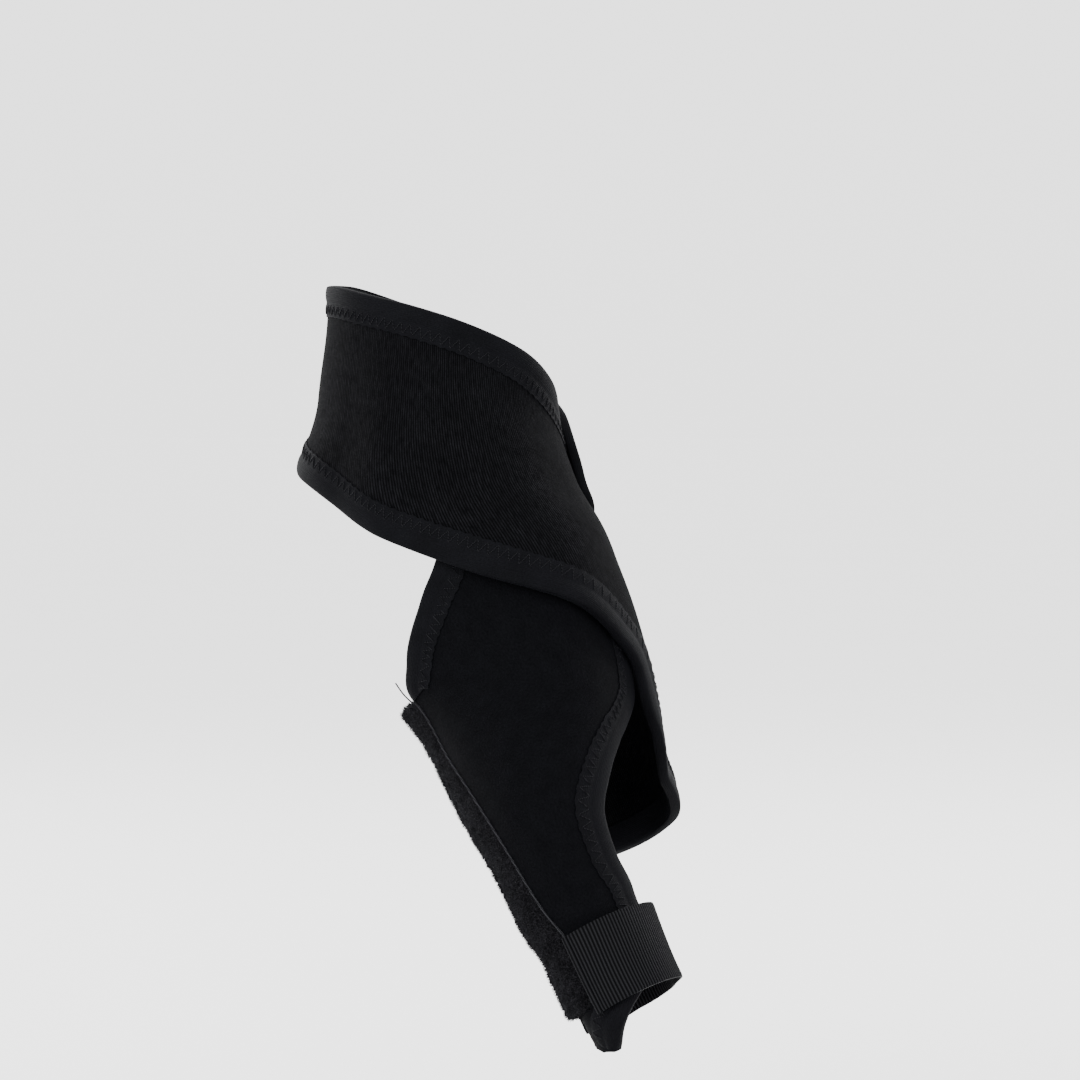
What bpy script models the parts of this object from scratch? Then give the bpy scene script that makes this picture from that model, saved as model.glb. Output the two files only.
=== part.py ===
"""Bunion splint for a left foot, in its worn shape: ankle wrap, foot panel, padded bar and toe loop.

The frame is +X to the toes, -Y to the inner side of the foot and +Z up the leg. The origin is on the
ankle's axis. Every piece lies on one foot form, which is not a piece itself. A place on the form is a
level (how far down the foot, as a share of FOOT_DROP) and an angle in degrees: 0 is the front of the
ankle and the top of the foot, 90 the inner side, 180 the heel and the sole, and 270 or -90 the outer
side. Lengths are metres.
"""

import bisect
import math
from typing import Callable, NamedTuple

import bmesh
import bpy
from mathutils import Vector

# The foot form
FOOT_DROP = 0.200
FOOT_REACH = 0.0945
TOE_SHIFT = 0.030
ANKLE_DEPTH = 0.070
ANKLE_WIDTH = 0.064
INSTEP_DEPTH = 0.061
FOOT_WIDTH = 0.078
TOE_DEPTH = 0.023
TOE_WIDTH = 0.030

# Cloth and its layers
SKIN_GAP = 0.0008
NEOPRENE = 0.0024
TAPE = 0.0004
TAPE_WIDTH = 0.009
TAPE_GAP = 0.00025
LAYER_GAP = 0.0005
SEAM_GAP = 0.0005
TAIL_CORNER = 0.012

# Padded bar
BAR_PADDING = 0.0060
BAR_EDGE = 0.0024
BAR_CORNER = 0.009
BAR_SEAM_CORNER = 0.004

# Webbing of the toe loop, cord and hook pads
WEBBING = 0.0012
WEBBING_WIDTH = 0.025
CORD_RADIUS = 0.0003
CORD_GAP = 0.0003
HOOK_PAD = 0.0009

STEP_ALONG = 0.0064
TIP_STEP = 0.0032
# Degrees between the toe loop's rungs
LOOP_STEP = 9.0
# The most of a piece's width that one border takes
BORDER_MOST = 0.42
# The strips of cloth between the two borders, or across the whole piece
WRAP_STRIPS = 6
PANEL_STRIPS = 5
BAR_STRIPS = 6
LOOP_STRIPS = 4
HOOK_STRIPS = 3
# Half the distance, in degrees and in millimetres, over which a direction on the form is read
PROBE = 0.5
MILLIMETRE = 0.001
# The profile of folded tape, as shares of how far it stands past the edge and over the cloth
FOLD_PAST = 0.8
FOLD_RISE = 0.75
# How full the bar's bulge is: 1 is a half wave, less is fuller
BULGE = 0.7


class Section(NamedTuple):
    """One cut through the form, its lengths as shares of the named sizes of its part of the foot."""

    level: float
    reach: float
    tilt: float
    depth: float
    shift: float
    medial: float
    lateral: float
    square: float


class Rung(NamedTuple):
    """A line across a piece of cloth, from its first edge to its second."""

    angle_a: float
    level_a: float
    angle_b: float
    level_b: float


# Depths are shares of ANKLE_DEPTH, widths of ANKLE_WIDTH
LEG_SECTIONS = [
    Section(-0.300, 0.00, 0, 0.530, 0.00, 0.485, 0.485, 2.0),
    Section(-0.160, 0.00, -3, 0.495, 0.00, 0.445, 0.445, 2.0),
    Section(0.000, -0.02, 0, 0.500, 0.00, 0.500, 0.500, 2.05),
    Section(0.135, -0.05, 2, 0.600, 0.00, 0.525, 0.525, 2.1),
    Section(0.290, 0.02, 10, 0.700, 0.03, 0.500, 0.530, 2.2),
]
# Depths are shares of INSTEP_DEPTH, widths of FOOT_WIDTH
FOOT_SECTIONS = [
    Section(0.450, 0.340, 18, 0.490, 0.13, 0.370, 0.540, 2.3),
    Section(0.575, 0.480, 24, 0.370, 0.30, 0.370, 0.640, 2.3),
    Section(0.680, 0.61, 28, 0.270, 0.53, 0.335, 0.665, 2.3),
    Section(0.760, 0.700, 31, 0.220, 0.73, 0.270, 0.360, 2.3),
]
# Depths are shares of TOE_DEPTH, widths of TOE_WIDTH
TOE_SECTIONS = [
    Section(0.800, 0.755, 33, 0.500, 0.83, 0.580, 0.560, 2.2),
    Section(0.890, 0.875, 33, 0.500, 0.97, 0.500, 0.500, 2.1),
    Section(1.000, 1.020, 33, 0.500, 1.00, 0.470, 0.470, 2.1),
    Section(1.075, 1.11, 33, 0.375, 1.00, 0.370, 0.370, 2.1),
]

# From the bar under the arch, up the outer side, over the instep, round the ankle to the loose end.
# The first edge is the upper one.
WRAP_RUNGS = [
    Rung(-192, 0.460, -174, 0.690),
    Rung(-150, 0.390, -150, 0.685),
    Rung(-100, 0.285, -108, 0.680),
    Rung(-60, 0.140, -68, 0.670),
    Rung(-26, 0.010, -40, 0.635),
    Rung(-4, -0.040, -18, 0.540),
    Rung(12, -0.070, -10, 0.455),
    Rung(34, -0.100, 14, 0.385),
    Rung(62, -0.130, 46, 0.315),
    Rung(95, -0.153, 84, 0.210),
    Rung(135, -0.168, 128, 0.125),
    Rung(180, -0.170, 180, 0.095),
    Rung(228, -0.140, 228, 0.110),
    Rung(276, -0.055, 276, 0.175),
    Rung(328, 0.055, 328, 0.235),
]

# From the end tucked under the wrap to the toe. The first edge is the front one, the second the heel
# side and then the seam on the bar.
PANEL_RUNGS = [
    Rung(-2, 0.290, 58, 0.160),
    Rung(-11, 0.360, 66, 0.245),
    Rung(-14, 0.430, 80, 0.320),
    Rung(-13, 0.500, 106, 0.385),
    Rung(-4, 0.550, 126, 0.427),
    Rung(14, 0.605, 130, 0.490),
    Rung(25, 0.665, 119, 0.570),
    Rung(20, 0.720, 110, 0.660),
    Rung(6, 0.770, 101, 0.745),
    Rung(-2, 0.810, 93, 0.800),
    Rung(10, 0.860, 94, 0.850),
    Rung(34, 0.893, 98, 0.886),
    Rung(60, 0.913, 130, 0.891),
    Rung(82, 0.932, 162, 0.898),
    Rung(94, 0.945, 156, 0.920),
    Rung(102, 0.952, 130, 0.936),
]
# The rung of the panel where its heel edge meets the bar, and the places where the bar ends and
# where the seam runs under the middle of the toe loop
CORNER_RUNG = 4
BAR_LAST_RUNG = 10.9
LOOP_RUNG = 10.0

# The bar's lower edge: its angle at the level of the heel end and at that of the toe end
PLANTAR_EDGE = ((0.430, 165), (0.930, 205))
TOE_LOOP_LEVEL = 0.850
TOE_LOOP_END = -176
TOE_PAD_TURN = (-163, -175)
TOE_PAD_SHARE = 0.8
# Where the wrap rises over the panel (angles at its heel and front sides, levels over its top) and
# over itself, and where the toe loop leaves the panel and comes onto the bar
HEEL_RAMP = (80, 108)
FRONT_RAMP = (-20, -40)
TOP_RAMP = (0.04, 0.28)
TAIL_RAMP = (245, 280)
LOOP_TOP_RAMP = (-14, -48)
LOOP_BAR_RAMP = (-118, -146)

SPLINT = "bunion_splint"

LAYER_STEP = NEOPRENE + 2 * (TAPE_GAP + TAPE) + LAYER_GAP


def smooth(start: float, end: float, value: float) -> float:
    """A soft step from 0 at start to 1 at end."""
    share = min(max((value - start) / (end - start), 0.0), 1.0)
    return share * share * (3 - 2 * share)


class Curve:
    """A smooth curve through values at rising keys, which never swings past them."""

    def __init__(self, keys: list[float], values: list[float]):
        self.keys = keys
        self.values = values
        rises = [
            (after - before) / (key_after - key)
            for before, after, key, key_after in zip(values, values[1:], keys, keys[1:])
        ]
        self.slopes = [rises[0]]
        for left, right in zip(rises, rises[1:]):
            self.slopes.append(2 * left * right / (left + right) if left * right > 0 else 0.0)
        self.slopes.append(rises[-1])

    def at(self, key: float) -> float:
        """The curve's value at a key."""
        last = len(self.keys) - 2
        i = min(max(bisect.bisect_right(self.keys, key) - 1, 0), last)
        span = self.keys[i + 1] - self.keys[i]
        t = (key - self.keys[i]) / span
        rise = 3 * t * t - 2 * t**3
        value = self.values[i] * (1 - rise) + self.values[i + 1] * rise
        value += span * self.slopes[i] * (t**3 - 2 * t * t + t)
        return value + span * self.slopes[i + 1] * (t**3 - t * t)


def sized_sections() -> list[Section]:
    """The form's sections in metres, from the leg to the toe."""
    groups = [
        (LEG_SECTIONS, ANKLE_DEPTH, ANKLE_WIDTH),
        (FOOT_SECTIONS, INSTEP_DEPTH, FOOT_WIDTH),
        (TOE_SECTIONS, TOE_DEPTH, TOE_WIDTH),
    ]
    return [
        Section(
            row.level,
            row.reach * FOOT_REACH,
            row.tilt,
            row.depth * depth,
            row.shift * TOE_SHIFT,
            row.medial * width,
            row.lateral * width,
            row.square,
        )
        for rows, depth, width in groups
        for row in rows
    ]


SECTIONS = sized_sections()
LEVELS = [section.level for section in SECTIONS]
FORM = Section(*(Curve(LEVELS, list(column)) for column in zip(*SECTIONS)))


def form_point(level: float, angle: float) -> Vector:
    """The point of the foot form at a level and an angle."""
    turn = math.radians(angle)
    ahead, inward = math.cos(turn), math.sin(turn)
    square = FORM.square.at(level)
    radius = (abs(ahead) ** square + abs(inward) ** square) ** (-1 / square)
    tilt = math.radians(FORM.tilt.at(level))
    side = FORM.medial.at(level) if inward > 0 else FORM.lateral.at(level)
    forward = FORM.depth.at(level) * radius * ahead
    return Vector(
        (
            FORM.reach.at(level) + forward * math.cos(tilt),
            -FORM.shift.at(level) - side * radius * inward,
            -level * FOOT_DROP + forward * math.sin(tilt),
        )
    )


def form_normal(level: float, angle: float) -> Vector:
    """The direction straight out of the form."""
    drop = PROBE * MILLIMETRE / FOOT_DROP
    down = form_point(level + drop, angle) - form_point(level - drop, angle)
    round_it = form_point(level, angle + PROBE) - form_point(level, angle - PROBE)
    return round_it.cross(down).normalized()


def raised(level: float, angle: float, height: float) -> Vector:
    """A point at a height over the form."""
    return form_point(level, angle) + height * form_normal(level, angle)


def moved_angle(level: float, angle: float, distance: float) -> float:
    """The angle that lies a real distance further round the form."""
    per_degree = (form_point(level, angle + PROBE) - form_point(level, angle - PROBE)).length
    return angle + distance * 2 * PROBE / per_degree


def rung_between(rungs: list[Rung]) -> Callable[[float], Rung]:
    """A function that reads a smooth rung at any place in the list."""
    keys = [float(i) for i in range(len(rungs))]
    curves = [Curve(keys, list(column)) for column in zip(*rungs)]
    return lambda place: Rung(*(curve.at(place) for curve in curves))


def even_places(rungs: list[Rung], first: float, last: float, step: float) -> list[float]:
    """Places along a piece, evenly spaced by the mean of its two edges."""
    read = rung_between(rungs)
    fine = 20
    count = int(round((last - first) * fine))
    places = [first + (last - first) * i / count for i in range(count + 1)]
    run = [0.0]
    before = read(first)
    for place in places[1:]:
        rung = read(place)
        edge_a = form_point(rung.level_a, rung.angle_a) - form_point(before.level_a, before.angle_a)
        edge_b = form_point(rung.level_b, rung.angle_b) - form_point(before.level_b, before.angle_b)
        run.append(run[-1] + (edge_a.length + edge_b.length) / 2)
        before = rung
    steps = max(2, math.ceil(run[-1] / step))
    place_at = Curve(run, places)
    return [place_at.at(run[-1] * i / steps) for i in range(steps + 1)]


def middle(rung: Rung) -> Vector:
    """The point of the form under the middle of a rung."""
    return form_point((rung.level_a + rung.level_b) / 2, (rung.angle_a + rung.angle_b) / 2)


def plantar_angle(level: float) -> float:
    """The angle of the bar's lower edge."""
    (heel_level, heel_angle), (toe_level, toe_angle) = PLANTAR_EDGE
    return heel_angle + (toe_angle - heel_angle) * (level - heel_level) / (toe_level - heel_level)


def narrowed(rung: Rung, inset: float) -> Rung:
    """A rung drawn in at both of its ends by a real length."""
    ends = [raised(rung.level_a, rung.angle_a, 0), raised(rung.level_b, rung.angle_b, 0)]
    share = inset / (ends[1] - ends[0]).length
    angle = (rung.angle_b - rung.angle_a) * share
    level = (rung.level_b - rung.level_a) * share
    return Rung(rung.angle_a + angle, rung.level_a + level, rung.angle_b - angle, rung.level_b - level)


def corner_inset(run: float, radius: float) -> float:
    """How far a round corner draws the edge in, at a distance from the end."""
    short = max(radius - run, 0.0)
    return radius - math.sqrt(radius * radius - short * short)


def collect(name: str) -> bpy.types.Collection:
    """A new collection in the scene."""
    made = bpy.data.collections.new(name)
    bpy.context.scene.collection.children.link(made)
    return made


def cloth_material(name: str, colour: tuple[float, float, float], roughness: float) -> bpy.types.Material:
    """A matt cloth of one colour."""
    material = bpy.data.materials.new(name)
    material.use_nodes = True
    shader = material.node_tree.nodes["Principled BSDF"]
    shader.inputs["Base Color"].default_value = (*colour, 1.0)
    shader.inputs["Roughness"].default_value = roughness
    shader.inputs["Metallic"].default_value = 0.0
    material.diffuse_color = (*colour, 1.0)
    return material


class Sheet:
    """A piece of cloth on the form: rows of points at the middle of its wall."""

    def __init__(
        self,
        name: str,
        stations: list[Rung],
        height: Callable[[float, float], float],
        wall: float,
        border: float,
        strips: int,
    ):
        self.name = name
        self.wall = wall
        self.rows = []
        for rung in stations:
            width = self.length_of(rung)
            edge = min(border / width, BORDER_MOST)
            inner = [edge + (1 - 2 * edge) * i / strips for i in range(strips + 1)]
            shares = [0.0, *inner, 1.0] if border else inner
            row = []
            for share in shares:
                angle = rung.angle_a + (rung.angle_b - rung.angle_a) * share
                level = rung.level_a + (rung.level_b - rung.level_a) * share
                row.append(raised(level, angle, height(angle, level) + wall / 2))
            self.rows.append(row)

    @staticmethod
    def length_of(rung: Rung) -> float:
        """The real length of a rung along the form."""
        points = []
        for i in range(9):
            share = i / 8
            angle = rung.angle_a + (rung.angle_b - rung.angle_a) * share
            points.append(form_point(rung.level_a + (rung.level_b - rung.level_a) * share, angle))
        return sum((after - before).length for before, after in zip(points, points[1:]))

    def normals(self) -> list[list[Vector]]:
        """The wall's direction at each point, as the mesh of the rows has it."""
        mesh = grid_mesh(self.name + "_guide", self.rows)
        wide = len(self.rows[0])
        found = [vertex.normal.copy() for vertex in mesh.vertices]
        bpy.data.meshes.remove(mesh)
        return [found[start : start + wide] for start in range(0, len(found), wide)]


def grid_mesh(name: str, rows: list[list[Vector]], turned: range = range(0)) -> bpy.types.Mesh:
    """A mesh with a point for each entry of the rows, in their order.

    Its squares are split so that tape and cloth bend along the same lines: from corner to corner
    going up the row, or down it in the turned strips.
    """
    long, wide = len(rows), len(rows[0])
    shape = bmesh.new()
    bmesh.ops.create_grid(shape, x_segments=wide - 1, y_segments=long - 1, size=1)
    shape.verts.sort(key=lambda vertex: vertex.co.y * long + vertex.co.x)
    shape.verts.index_update()
    for vertex, point in zip(shape.verts, (point for row in rows for point in row)):
        vertex.co = point
    for face in list(shape.faces):
        near, near_up, far, far_up = sorted(face.verts, key=lambda vertex: vertex.index)
        ends = (near_up, far) if near.index % wide in turned else (near, far_up)
        bmesh.utils.face_split(face, *ends)
    shape.normal_update()
    mesh = bpy.data.meshes.new(name)
    shape.to_mesh(mesh)
    shape.free()
    return mesh


def solid_sheet(
    sheet: Sheet, material: bpy.types.Material, home: bpy.types.Collection
) -> bpy.types.Object:
    """The cloth of a sheet with its full wall."""
    return thickened(sheet.name, sheet.rows, sheet.wall, material, home)


def thickened(
    name: str,
    rows: list[list[Vector]],
    wall: float,
    material: bpy.types.Material,
    home: bpy.types.Collection,
    turned: range = range(0),
) -> bpy.types.Object:
    """A solid of even wall round rows of points."""
    mesh = grid_mesh(name, rows, turned)
    mesh.materials.append(material)
    mesh.shade_smooth()
    made = bpy.data.objects.new(name, mesh)
    home.objects.link(made)
    solid = made.modifiers.new("wall", "SOLIDIFY")
    solid.thickness = wall
    solid.offset = 0.0
    return made


def binding(
    name: str,
    sheet: Sheet,
    second_edge: bool,
    first: int,
    last: int,
    material: bpy.types.Material,
    home: bpy.types.Collection,
) -> bpy.types.Object:
    """Tape folded round one edge of a sheet, between two of its stations."""
    rise = sheet.wall / 2 + TAPE_GAP + TAPE / 2
    past = TAPE_GAP + TAPE
    profile = [
        (1, rise),
        (0, rise),
        (-FOLD_PAST * past, FOLD_RISE * rise),
        (-past, 0.0),
        (-FOLD_PAST * past, -FOLD_RISE * rise),
        (0, -rise),
        (1, -rise),
    ]
    edge, leg = (-1, -2) if second_edge else (0, 1)
    normals = sheet.normals()
    rows = []
    for i in range(first, last + 1):
        points, ways = sheet.rows[i], normals[i]
        ahead = sheet.rows[min(i + 1, len(sheet.rows) - 1)][edge] - sheet.rows[max(i - 1, 0)][edge]
        across = points[edge] - points[leg]
        outward = (across - across.project(ahead)).normalized()
        row = []
        for place, height in profile:
            if place == 1:
                row.append(points[leg] + height * ways[leg])
            else:
                row.append(points[edge] - place * outward + height * ways[edge])
        rows.append(row)
    turned = range(3, 6) if second_edge else range(0, 3)
    made = thickened(name, rows, TAPE, material, home, turned)
    made.modifiers["wall"].use_even_offset = True
    return made


def over_panel(angle: float, level: float) -> float:
    """How fully the wrap lies over the panel at a place of the ankle, from 0 to 1."""
    top_front = PANEL_RUNGS[0].level_a
    top_heel = PANEL_RUNGS[0].level_b
    along = smooth(PANEL_RUNGS[0].angle_a, PANEL_RUNGS[0].angle_b, angle)
    top = top_front + (top_heel - top_front) * along
    front = smooth(FRONT_RAMP[1], FRONT_RAMP[0], angle)
    heel = smooth(HEEL_RAMP[1], HEEL_RAMP[0], angle)
    return front * heel * smooth(top - TOP_RAMP[1], top - TOP_RAMP[0], level)


def wrap_height(angle: float, level: float) -> float:
    """The wrap's inner face over the form: raised over the panel and where its end lies on itself."""
    on_itself = smooth(*TAIL_RAMP, angle)
    below = over_panel(angle, level) + on_itself * over_panel(angle - 360, level)
    return SKIN_GAP + LAYER_STEP * (below + on_itself)


def flat_height(angle: float, level: float) -> float:
    """The inner face of a piece that lies on the foot."""
    return SKIN_GAP


def bar_thickness(across: float) -> float:
    """The bar's padding at a share of its width from the seam to its lower edge."""
    bulge = math.sin(math.pi * min(max(across, 0.0), 1.0)) ** BULGE
    return BAR_EDGE + (BAR_PADDING - BAR_EDGE) * bulge


def bar_top(angle: float, level: float) -> float:
    """The bar's outer face under the toe, at an angle that is counted down past -180."""
    seam = panel_at(LOOP_RUNG).angle_b
    across = (angle + 360 - seam) / (plantar_angle(level) - seam)
    return SKIN_GAP + bar_thickness(across)


def pad_height(angle: float, level: float) -> float:
    """The inner face of the hook pad on the bar."""
    return bar_top(angle, level) + LAYER_GAP


def loop_height(angle: float, level: float) -> float:
    """The toe loop's inner face: over the panel on top, on the toe at its side, on the bar below."""
    on_panel = NEOPRENE + TAPE_GAP + TAPE + LAYER_GAP
    top = on_panel * smooth(LOOP_TOP_RAMP[1], LOOP_TOP_RAMP[0], angle)
    under = pad_height(angle, level) + HOOK_PAD + LAYER_GAP - SKIN_GAP
    return SKIN_GAP + top + under * smooth(*LOOP_BAR_RAMP, angle)


panel_at = rung_between(PANEL_RUNGS)
wrap_at = rung_between(WRAP_RUNGS)


def wrap_stations() -> list[Rung]:
    """The wrap's rungs, evenly spaced, with round corners at the loose end."""
    last = float(len(WRAP_RUNGS) - 1)
    near = 0.1
    pace = (middle(wrap_at(last)) - middle(wrap_at(last - near))).length / near
    straight_end = last - TAIL_CORNER / pace
    stations = [wrap_at(place) for place in even_places(WRAP_RUNGS, 0.0, straight_end, STEP_ALONG)]
    root = stations[0]
    stations[0] = Rung(
        moved_angle(root.level_a, plantar_angle(root.level_a), 2 * SEAM_GAP) - 360,
        root.level_a,
        moved_angle(root.level_b, plantar_angle(root.level_b), 2 * SEAM_GAP) - 360,
        root.level_b,
    )
    # The loose end's corners, in steps of a turn from the straight edges to the end edge
    for turn in (60, 30, 0):
        run = TAIL_CORNER * (1 - math.cos(math.radians(turn)))
        inset = TAIL_CORNER * (1 - math.sin(math.radians(turn)))
        stations.append(narrowed(wrap_at(last - run / pace), inset))
    return stations


def bar_stations(places: list[float]) -> list[Rung]:
    """The bar's rungs, from the seam at the panel's stations to its lower edge, with round corners."""
    seams = [(panel_at(place).angle_b, panel_at(place).level_b) for place in places]
    ends = [form_point(seams[0][1], seams[0][0]), form_point(seams[-1][1], seams[-1][0])]
    stations = []
    for angle, level in seams:
        run = min((form_point(level, angle) - end).length for end in ends)
        lower = moved_angle(level, plantar_angle(level), -corner_inset(run, BAR_CORNER))
        upper = moved_angle(level, angle, SEAM_GAP + corner_inset(run, BAR_SEAM_CORNER))
        stations.append(Rung(upper, level, lower, level))
    return stations


def padded_bar(
    places: list[float], material: bpy.types.Material, home: bpy.types.Collection
) -> bpy.types.Object:
    """The plush bar: flat on the foot, thick in the middle and thinner at its edges."""
    stations = bar_stations(places)
    sheet = Sheet("side_splint", stations, flat_height, 0.0, 0.0, BAR_STRIPS)
    made = thickened(sheet.name, sheet.rows, BAR_PADDING, material, home)
    padding = made.vertex_groups.new(name="padding")
    for i in range(len(sheet.rows) * (BAR_STRIPS + 1)):
        across = i % (BAR_STRIPS + 1) / BAR_STRIPS
        padding.add([i], bar_thickness(across) / BAR_PADDING, "REPLACE")
    solid = made.modifiers["wall"]
    solid.offset = 1.0
    solid.vertex_group = padding.name
    return made


def ring_stations(level: float, width: float, start: float, end: float, step: float) -> list[Rung]:
    """Rungs of a strap of even width round the form at one level."""
    near = 0.01
    along = form_point(level + near, 90) - form_point(level - near, 90)
    half = width * near / along.length
    steps = math.ceil(abs(end - start) / step)
    angles = [start + (end - start) * i / steps for i in range(steps + 1)]
    return [Rung(angle, level - half, angle, level + half) for angle in angles]


def seam_cord(
    sheet: Sheet,
    first: int,
    last: int,
    material: bpy.types.Material,
    home: bpy.types.Collection,
) -> bpy.types.Object:
    """The thin cord that covers the joint between the panel and the bar."""
    normals = sheet.normals()
    height = sheet.wall / 2 + CORD_GAP + CORD_RADIUS
    data = bpy.data.curves.new("seam_cord", "CURVE")
    data.dimensions = "3D"
    data.bevel_depth = CORD_RADIUS
    data.bevel_resolution = 1
    data.use_fill_caps = True
    line = data.splines.new("POLY")
    stations = list(zip(sheet.rows, normals))[first : last + 1]
    points = [row[-1] + height * ways[-1] for row, ways in stations]
    line.points.add(len(points) - 1)
    for target, point in zip(line.points, points):
        target.co = (*point, 1.0)
    data.materials.append(material)
    made = bpy.data.objects.new("seam_cord", data)
    home.objects.link(made)
    return made


def main() -> None:
    """Makes the splint's pieces, each as its own object."""
    for old in list(bpy.data.objects):
        bpy.data.objects.remove(old)
    home = collect(SPLINT)
    knit = cloth_material("knitted_neoprene", (0.010, 0.010, 0.012), 0.85)
    smooth_cloth = cloth_material("smooth_neoprene", (0.012, 0.012, 0.015), 0.75)
    tape = cloth_material("binding_tape", (0.016, 0.016, 0.019), 0.7)
    plush = cloth_material("plush_loop", (0.008, 0.008, 0.009), 0.95)
    ribbed = cloth_material("ribbed_webbing", (0.020, 0.020, 0.022), 0.7)
    thread = cloth_material("seam_cord", (0.035, 0.035, 0.038), 0.6)
    hooks = cloth_material("hook_pad", (0.015, 0.015, 0.015), 0.6)

    wrap = Sheet("ankle_wrap", wrap_stations(), wrap_height, NEOPRENE, TAPE_WIDTH, WRAP_STRIPS)
    solid_sheet(wrap, knit, home)
    last = len(wrap.rows) - 1
    binding("wrap_upper_binding", wrap, False, 0, last, tape, home)
    binding("wrap_lower_binding", wrap, True, 0, last, tape, home)

    above = even_places(PANEL_RUNGS, 0.0, float(CORNER_RUNG), STEP_ALONG)
    beside = even_places(PANEL_RUNGS, float(CORNER_RUNG), BAR_LAST_RUNG, STEP_ALONG)
    tip = even_places(PANEL_RUNGS, BAR_LAST_RUNG, float(len(PANEL_RUNGS) - 1), TIP_STEP)
    places = above + beside[1:] + tip[1:]
    panel = Sheet(
        "foot_panel",
        [panel_at(place) for place in places],
        flat_height,
        NEOPRENE,
        TAPE_WIDTH,
        PANEL_STRIPS,
    )
    solid_sheet(panel, smooth_cloth, home)
    corner = len(above) - 1
    binding("panel_front_binding", panel, False, 0, len(places) - 2, tape, home)
    binding("panel_heel_binding", panel, True, 0, corner, tape, home)
    padded_bar(beside, plush, home)
    seam_cord(panel, corner + 1, corner + len(beside) - 1, thread, home)

    start = panel_at(LOOP_RUNG).angle_b
    loop = Sheet(
        "toe_strap",
        ring_stations(TOE_LOOP_LEVEL, WEBBING_WIDTH, start, TOE_LOOP_END, LOOP_STEP),
        loop_height,
        WEBBING,
        0.0,
        LOOP_STRIPS,
    )
    solid_sheet(loop, ribbed, home)
    pad_stations = ring_stations(
        TOE_LOOP_LEVEL, WEBBING_WIDTH * TOE_PAD_SHARE, *TOE_PAD_TURN, LOOP_STEP
    )
    pad = Sheet("toe_hook_tab", pad_stations, pad_height, HOOK_PAD, 0.0, HOOK_STRIPS)
    solid_sheet(pad, hooks, home)


main()
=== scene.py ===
"""The looks of a worn bunion splint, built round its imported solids.

Every piece lies on one foot form, which is not a piece itself. A place on the form is a level (how far
down the foot, as a share of its drop) and an angle in degrees: 0 is the front of the ankle and the top
of the foot, 90 the inner side, 180 the heel and the sole, and 270 or -90 the outer side. Lengths are
metres, and a cloth's UV map is in metres too: U along the piece and V across it.
"""

import logging
import math
from collections.abc import Callable, Sequence
from dataclasses import dataclass
from enum import Enum

import bpy
import numpy as np
from mathutils import Matrix, Vector


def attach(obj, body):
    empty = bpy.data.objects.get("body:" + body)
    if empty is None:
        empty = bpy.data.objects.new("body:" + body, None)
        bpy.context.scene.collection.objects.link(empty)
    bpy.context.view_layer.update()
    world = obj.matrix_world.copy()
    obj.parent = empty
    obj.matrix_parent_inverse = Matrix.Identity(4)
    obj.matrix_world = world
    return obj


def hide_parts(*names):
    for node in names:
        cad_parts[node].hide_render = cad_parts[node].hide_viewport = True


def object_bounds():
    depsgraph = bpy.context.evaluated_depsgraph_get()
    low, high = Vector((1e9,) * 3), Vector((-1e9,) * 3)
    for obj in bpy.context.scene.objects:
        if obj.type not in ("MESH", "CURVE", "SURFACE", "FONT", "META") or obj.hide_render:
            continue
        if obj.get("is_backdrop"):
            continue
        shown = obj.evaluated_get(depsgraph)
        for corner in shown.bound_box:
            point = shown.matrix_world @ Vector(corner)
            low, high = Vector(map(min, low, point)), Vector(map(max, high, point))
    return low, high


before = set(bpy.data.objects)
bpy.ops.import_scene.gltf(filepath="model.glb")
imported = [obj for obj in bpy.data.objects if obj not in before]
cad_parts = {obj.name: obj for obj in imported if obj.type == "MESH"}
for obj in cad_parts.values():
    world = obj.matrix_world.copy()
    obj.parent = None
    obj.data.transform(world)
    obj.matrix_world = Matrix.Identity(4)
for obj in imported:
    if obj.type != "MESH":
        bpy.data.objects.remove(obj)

LOG = logging.getLogger("bunion_splint")
BODY = "root"
MM = 0.001

Array = np.ndarray
Colour = tuple[float, float, float]
Height = Callable[[Array, Array], Array]


class Edge(Enum):
    """One of a cloth's two long edges."""

    FIRST = 0
    SECOND = 1


def smooth(start: float, end: float, value: Array) -> Array:
    """A soft step from 0 at start to 1 at end.

    Args:
        start: Where the step begins.
        end: Where it ends, which may lie below start.
        value: The places to read.

    Returns:
        The step's height at each place.
    """
    share = np.clip((np.asarray(value, float) - start) / (end - start), 0.0, 1.0)
    return share * share * (3 - 2 * share)


class Curve:
    """A smooth curve through values at rising keys, which never swings past them."""

    def __init__(self, keys: Sequence[float], values: Sequence[float]) -> None:
        """Works out the slope at each key.

        Args:
            keys: The rising keys.
            values: The value at each key.
        """
        self.keys = np.asarray(keys, float)
        self.values = np.asarray(values, float)
        rises = np.diff(self.values) / np.diff(self.keys)
        both = rises[:-1] * rises[1:]
        total = np.where(both > 0, rises[:-1] + rises[1:], 1.0)
        inner = np.where(both > 0, 2 * both / total, 0.0)
        self.slopes = np.concatenate([rises[:1], inner, rises[-1:]])

    def at(self, key: Array) -> Array:
        """Reads the curve.

        Args:
            key: The places to read.

        Returns:
            The value at each place.
        """
        key = np.asarray(key, float)
        i = np.clip(np.searchsorted(self.keys, key, side="right") - 1, 0, len(self.keys) - 2)
        span = self.keys[i + 1] - self.keys[i]
        t = (key - self.keys[i]) / span
        rise = 3 * t * t - 2 * t**3
        value = self.values[i] * (1 - rise) + self.values[i + 1] * rise
        value = value + span * self.slopes[i] * (t**3 - 2 * t * t + t)
        return value + span * self.slopes[i + 1] * (t**3 - t * t)


def unit(vectors: Array) -> Array:
    """Vectors of length 1 in the same directions."""
    return vectors / np.linalg.norm(vectors, axis=-1, keepdims=True)


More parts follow.
